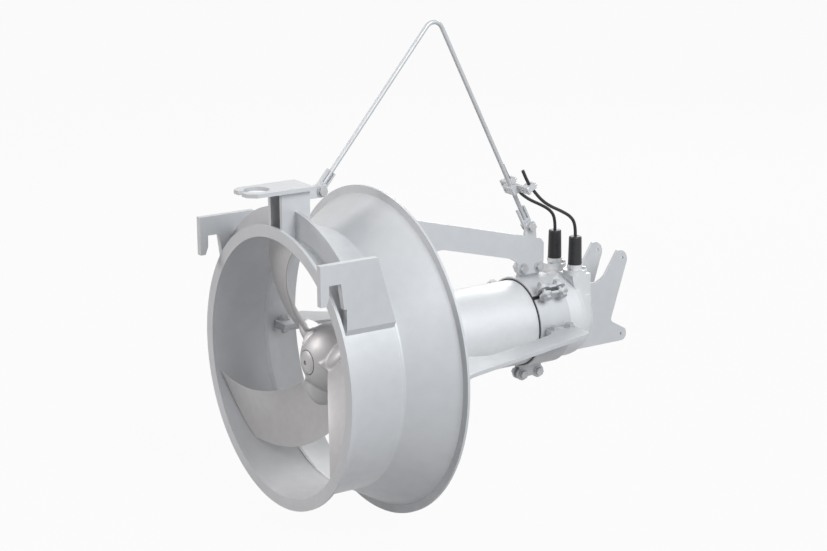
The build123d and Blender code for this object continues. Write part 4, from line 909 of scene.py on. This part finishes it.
    def _hub_blank(self) -> bmesh.types.BMesh:
        """Ball, swellings and blade stubs as overlapping closed solids.

        Returns:
            The mesh.
        """
        mesh = bmesh.new()
        nose_turn = asin(self.nose_r / self.ball_r)
        collar_turn = pi - asin(self.collar_r / self.ball_r)
        steps = self.ball_steps
        turns = [nose_turn + (collar_turn - nose_turn) * i / steps for i in range(steps + 1)]
        ball = [(self.ball_x - self.ball_r * cos(t), self.ball_r * sin(t)) for t in turns]
        self._lathe(mesh, [(ball[0][0], 0.0), *ball, (self.rear_x, self.collar_r), (self.rear_x, 0.0)])
        turn, lean = radians(self.swelling_angle), radians(self.swelling_lean)
        up = Vector((0.0, -sin(turn), cos(turn)))
        along = Vector((0.0, -cos(turn), -sin(turn)))
        face = Vector((-sin(lean), 0.0, 0.0)) - along * cos(lean)
        axes = Matrix((face, up, face.cross(up))).transposed().to_4x4()
        centre = up * self.swelling_rise + Vector((self.swelling_x, 0.0, 0.0))
        place = Matrix.Translation(centre) @ axes @ Matrix.Diagonal((*self.swelling, 1.0))
        for index in range(self.blades):
            angle = 360.0 * index / self.blades
            spin = Matrix.Rotation(radians(angle), 4, "X")
            bmesh.ops.create_uvsphere(
                mesh, u_segments=self.swelling_segments, v_segments=self.swelling_rings, radius=1.0,
                matrix=spin @ place,
            )
            self.add_blade(mesh, angle, self.stub_share)
        return mesh

    @staticmethod
    def _solid(name: str, mesh: bmesh.types.BMesh) -> bpy.types.Object:
        """Put a mesh into a new object and free it.

        Args:
            name: the object's name.
            mesh: the mesh.

        Returns:
            The object.
        """
        data = bpy.data.meshes.new(name)
        mesh.to_mesh(data)
        mesh.free()
        thing = bpy.data.objects.new(name, data)
        bpy.context.scene.collection.objects.link(thing)
        return thing

    @staticmethod
    def _apply(thing: bpy.types.Object) -> None:
        """Turn an object's modifiers into its mesh.

        Args:
            thing: the object.
        """
        graph = bpy.context.evaluated_depsgraph_get()
        graph.update()
        plain = bpy.data.meshes.new_from_object(thing.evaluated_get(graph), depsgraph=graph)
        thing.modifiers.clear()
        old = thing.data
        thing.data = plain
        bpy.data.meshes.remove(old)

    def build(self) -> bpy.types.Object:
        """Cast the hub, bore it and set the blades in it.

        Returns:
            The propeller as one plain mesh.
        """
        cast = self._solid("cast_propeller", self._hub_blank())
        melt = cast.modifiers.new("melt", "REMESH")
        melt.mode = "VOXEL"
        melt.voxel_size = self.voxel
        self._apply(cast)
        soft = bmesh.new()
        soft.from_mesh(cast.data)
        for _ in range(self.smoothing):
            bmesh.ops.smooth_vert(
                soft, verts=soft.verts, factor=self.smooth_factor,
                use_axis_x=True, use_axis_y=True, use_axis_z=True,
            )
        soft.to_mesh(cast.data)
        soft.free()
        cutter = bmesh.new()
        nose_x = self.ball_x - sqrt(self.ball_r**2 - self.nose_r**2)
        front, floor = nose_x - self.cutter_overrun, nose_x + self.recess_depth
        rear = self.rear_x + self.cutter_overrun
        self._lathe(
            cutter,
            [
                (front, 0.0), (front, self.recess_r), (floor, self.recess_r),
                (floor, self.bore_r), (rear, self.bore_r), (rear, 0.0),
            ],
        )
        tool = self._solid("hub_cutter", cutter)
        bore = cast.modifiers.new("bore", "BOOLEAN")
        bore.operation, bore.solver, bore.object = "DIFFERENCE", "EXACT", tool
        self._apply(cast)
        bpy.data.objects.remove(tool)
        whole = bmesh.new()
        whole.from_mesh(cast.data)
        for index in range(self.blades):
            self.add_blade(whole, 360.0 * index / self.blades)
        whole.to_mesh(cast.data)
        whole.free()
        cast.data.shade_smooth()
        cast.data.set_sharp_from_angle(angle=radians(self.sharp_angle))
        return cast


@dataclass
class RotorUnit(SubAssembly):
    """Propeller, shaft and what turns with them."""

    body: Body = Body.ROTOR

    def finishes(self) -> dict[Slot, tuple[str, ...]]:
        """Slot of each of its nodes.

        Returns:
            The nodes' names by slot.
        """
        return {
            Slot.PROPELLER: ("propeller", "hub_cap"),
            Slot.BRIGHT: ("shaft", "drive_key"),
            Slot.FASTENER: ("cap_screw",),
            Slot.LAMINATION: ("rotor_core",),
            Slot.CARBIDE: ("seal_ring",),
            Slot.BEARING: ("bearing_inner_rings", "bearing_balls"),
        }

    def build(self) -> list[bpy.types.Object]:
        """Set the cast propeller in place of the plain one.

        Returns:
            The propeller.
        """
        propeller = CastPropeller().build()
        self.palette.coat(propeller, Slot.PROPELLER)
        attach(propeller, self.body.value)
        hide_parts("propeller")
        return [propeller]


@dataclass
class MotorUnit(SubAssembly):
    """Motor housing, covers, cable head, glands and inner parts."""

    def finishes(self) -> dict[Slot, tuple[str, ...]]:
        """Slot of each of its nodes.

        Returns:
            The nodes' names by slot.
        """
        return {
            Slot.CASTING: (
                "motor_housing", "front_cover", "connection_head", "bearing_bracket",
                "gland_flange_left", "gland_flange_right",
            ),
            Slot.FASTENER: ("flange_screws", "gland_screws"),
            Slot.RUBBER: ("cable_sleeve_left", "cable_sleeve_right", "o_rings"),
            Slot.LAMINATION: ("stator_core",),
            Slot.COPPER: ("end_windings",),
            Slot.CARBIDE: ("seal_seat",),
            Slot.BEARING: ("bearing_outer_rings",),
            Slot.INSULATOR: ("terminal_block",),
        }


@dataclass
class CarrierUnit(SubAssembly):
    """Radial arms, motor clamp, rear plates and their screws."""

    def finishes(self) -> dict[Slot, tuple[str, ...]]:
        """Slot of each of its nodes.

        Returns:
            The nodes' names by slot.
        """
        return {
            Slot.SHEET: (
                "top_arm", "left_arm", "right_arm", "clamp_top", "clamp_left", "clamp_right",
                "rear_plate_left", "rear_plate_right",
            ),
            # The liner's near-black rubber draws the dark line along the clamp's front edge. That line is
            # partly a real liner and partly painted shade in the gap between clamp and motor.
            Slot.RUBBER: ("clamp_liner",),
            Slot.FASTENER: ("hex_bolts", "hex_nuts", "plain_washers"),
        }


@dataclass
class BailUnit(SubAssembly):
    """Lifting rod, its yokes and the cable clips on it."""

    def finishes(self) -> dict[Slot, tuple[str, ...]]:
        """Slot of each of its nodes.

        Returns:
            The nodes' names by slot.
        """
        return {
            Slot.BRIGHT: ("bail_rod",),
            Slot.SHEET: (
                "front_bail_lug", "front_yoke", "rear_yoke", "bar_saddle", "cable_bar", "cable_clips",
            ),
            Slot.FASTENER: ("clip_screws",),
            Slot.RUBBER: ("cable_bushes",),
        }


@dataclass
class SupplyCables(SubAssembly):
    """Two cables from the glands to their clips on the lifting rod."""

    diameter: float = 0.0106
    length: float = 0.339
    half_spacing: float = 0.054
    round_steps: int = 6
    length_steps: int = 14
    order: int = 3
    route: tuple[tuple[float, float], ...] = (
        (1.088, 0.269), (1.088, 0.307), (1.068, 0.337), (1.027, 0.361), (0.985, 0.381),
        (0.949, 0.406), (0.917, 0.441), (0.893, 0.471), (0.8746, 0.5102),
    )

    def build(self) -> list[bpy.types.Object]:
        """Lay both cables.

        Returns:
            The two cords.
        """
        return [self._cable("right", -1), self._cable("left", 1)]

    def _cable(self, name: str, side: int) -> bpy.types.Object:
        """Lay one cable.

        Args:
            name: the side's name.
            side: 1 towards +Y, -1 towards -Y.

        Returns:
            The cord.
        """
        curve = bpy.data.curves.new(f"supply_cable_{name}", "CURVE")
        curve.dimensions = "3D"
        curve.bevel_depth = self.diameter / 2
        curve.bevel_resolution = self.round_steps
        curve.resolution_u = self.length_steps
        curve.use_fill_caps = True
        spline = curve.splines.new("NURBS")
        spline.points.add(len(self.route) - 1)
        y = side * self.half_spacing
        for point, (x, z) in zip(spline.points, self.route):
            point.co = (x, y, z, 1.0)
        spline.order_u = self.order
        spline.use_endpoint_u = True
        cord = bpy.data.objects.new(f"supply_cable_{name}", curve)
        bpy.context.scene.collection.objects.link(cord)
        self.palette.coat(cord, Slot.CABLE)
        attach(cord, self.body.value)
        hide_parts(f"cable_{name}")
        x, z = self.route[0]
        return cord


@dataclass(frozen=True)
class SoftLamp:
    """One large soft lamp aimed at the pump's middle."""

    name: str
    place: Point
    size: float
    power: float
    colour: Colour = (1.0, 1.0, 1.0)
    aim: Point = (0.45, 0.0, 0.1)

    def hang(self) -> bpy.types.Object:
        """Make the lamp.

        Returns:
            The lamp object.
        """
        light = bpy.data.lights.new(self.name, "AREA")
        light.shape = "DISK"
        light.size = self.size
        light.energy = self.power
        light.color = self.colour
        lamp = bpy.data.objects.new(self.name, light)
        lamp.location = self.place
        lamp.rotation_mode = "QUATERNION"
        lamp.rotation_quaternion = (Vector(self.aim) - Vector(self.place)).to_track_quat("-Z", "Y")
        bpy.context.scene.collection.objects.link(lamp)
        return lamp


@dataclass
class Studio:
    """Floor, sky, lamps and camera."""

    floor_z: float = -0.514
    floor_half: float = 45.0
    floor_colour: Colour = (0.32, 0.32, 0.33)
    floor_roughness: float = 0.9
    floor_glow: float = 0.95
    sky_strength: float = 0.17
    lens: float = 88.87
    sensor: float = 36.0
    far_clip: float = 100.0
    eye: Point = (-2.8741, -5.1059, 1.8483)
    right: Point = (0.83390, -0.55191, -0.00409)
    up: Point = (0.14571, 0.21300, 0.96613)
    forward: Point = (0.53234, 0.80624, -0.25804)
    lamps: tuple[SoftLamp, ...] = field(
        default=(
            SoftLamp("key_lamp", (0.9, -5.4, 4.4), 4.5, 375.0, (0.93, 0.97, 1.0)),
            SoftLamp("front_lamp", (-4.2, 2.6, 3.6), 2.6, 165.0, (1.0, 0.96, 0.95)),
            SoftLamp("rear_lamp", (5.0, 4.0, 3.0), 3.0, 150.0),
        )
    )

    def build(self) -> None:
        """Build the whole studio."""
        self._sky()
        self._floor()
        for lamp in self.lamps:
            lamp.hang()
            LOG.info("lamp %s", lamp.name)
        self._camera()
        bpy.context.scene.view_settings.view_transform = "Standard"

    @staticmethod
    def _seen_directly(book: NodeBook) -> bpy.types.NodeSocket:
        """Mask for rays that see the background itself.

        Args:
            book: the tree's node book.

        Returns:
            1 for camera, glossy and transmission rays.
        """
        path = book.add("ShaderNodeLightPath")
        seen = book.maths("MAXIMUM", path.outputs["Is Camera Ray"], path.outputs["Is Transmission Ray"])
        return book.maths("MAXIMUM", seen, path.outputs["Is Glossy Ray"])

    def _sky(self) -> None:
        """White sky, brighter to the camera than to the object."""
        world = bpy.data.worlds.new("studio_sky")
        bpy.context.scene.world = world
        world.use_nodes = True
        book = NodeBook(world.node_tree)
        book.tree.nodes.clear()
        lit = book.feed(book.add("ShaderNodeBackground"), Color=(1, 1, 1, 1), Strength=self.sky_strength)
        plain = book.feed(book.add("ShaderNodeBackground"), Color=(1, 1, 1, 1), Strength=1.0)
        choice = book.add("ShaderNodeMixShader")
        book.tree.links.new(self._seen_directly(book), choice.inputs[0])
        book.tree.links.new(lit.outputs[0], choice.inputs[1])
        book.tree.links.new(plain.outputs[0], choice.inputs[2])
        output = book.add("ShaderNodeOutputWorld")
        book.tree.links.new(choice.outputs[0], output.inputs["Surface"])

    def _floor(self) -> None:
        """Wide pale floor just under the bell's rim."""
        mesh = bpy.data.meshes.new("studio_floor")
        h, z = self.floor_half, self.floor_z
        mesh.from_pydata([(-h, -h, z), (h, -h, z), (h, h, z), (-h, h, z)], [], [(0, 1, 2, 3)])
        floor = bpy.data.objects.new("studio_floor", mesh)
        bpy.context.scene.collection.objects.link(floor)
        material = bpy.data.materials.new("pale_floor")
        material.use_nodes = True
        book = NodeBook(material.node_tree)
        shader = next(n for n in book.tree.nodes if n.type == "BSDF_PRINCIPLED")
        output = next(n for n in book.tree.nodes if n.type == "OUTPUT_MATERIAL")
        book.feed(shader, Base_Color=(*self.floor_colour, 1.0), Roughness=self.floor_roughness)
        glow = book.feed(book.add("ShaderNodeEmission"), Color=(1, 1, 1, 1), Strength=1.0)
        choice = book.add("ShaderNodeMixShader")
        share = book.maths("MULTIPLY", self._seen_directly(book), self.floor_glow)
        book.tree.links.new(share, choice.inputs[0])
        book.tree.links.new(shader.outputs[0], choice.inputs[1])
        book.tree.links.new(glow.outputs[0], choice.inputs[2])
        book.tree.links.new(choice.outputs[0], output.inputs["Surface"])
        mesh.materials.append(material)

    def _camera(self) -> None:
        """Camera at the photograph's place."""
        data = bpy.data.cameras.new("photo_camera")
        data.lens = self.lens
        data.sensor_width = self.sensor
        data.clip_end = self.far_clip
        camera = bpy.data.objects.new("photo_camera", data)
        back = -Vector(self.forward)
        axes = Matrix((self.right, self.up, back)).transposed()
        camera.matrix_world = Matrix.Translation(self.eye) @ axes.to_4x4()
        bpy.context.scene.collection.objects.link(camera)
        bpy.context.scene.camera = camera


def clear_scene() -> None:
    """Remove everything that a fresh file holds."""
    for thing in list(bpy.data.objects):
        bpy.data.objects.remove(thing)


def main() -> None:
    """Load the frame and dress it."""
    logging.basicConfig(level=logging.INFO, format="%(name)s %(message)s")
    clear_scene()
    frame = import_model()
    palette = Palette()
    units: tuple[type[SubAssembly], ...] = (
        SupplyCables, ThroatUnit, RotorUnit, MotorUnit, CarrierUnit, BailUnit,
    )
    for unit in units:
        unit(palette, frame["nodes"]).dress()
    Studio().build()


if __name__ == "__main__":
    main()
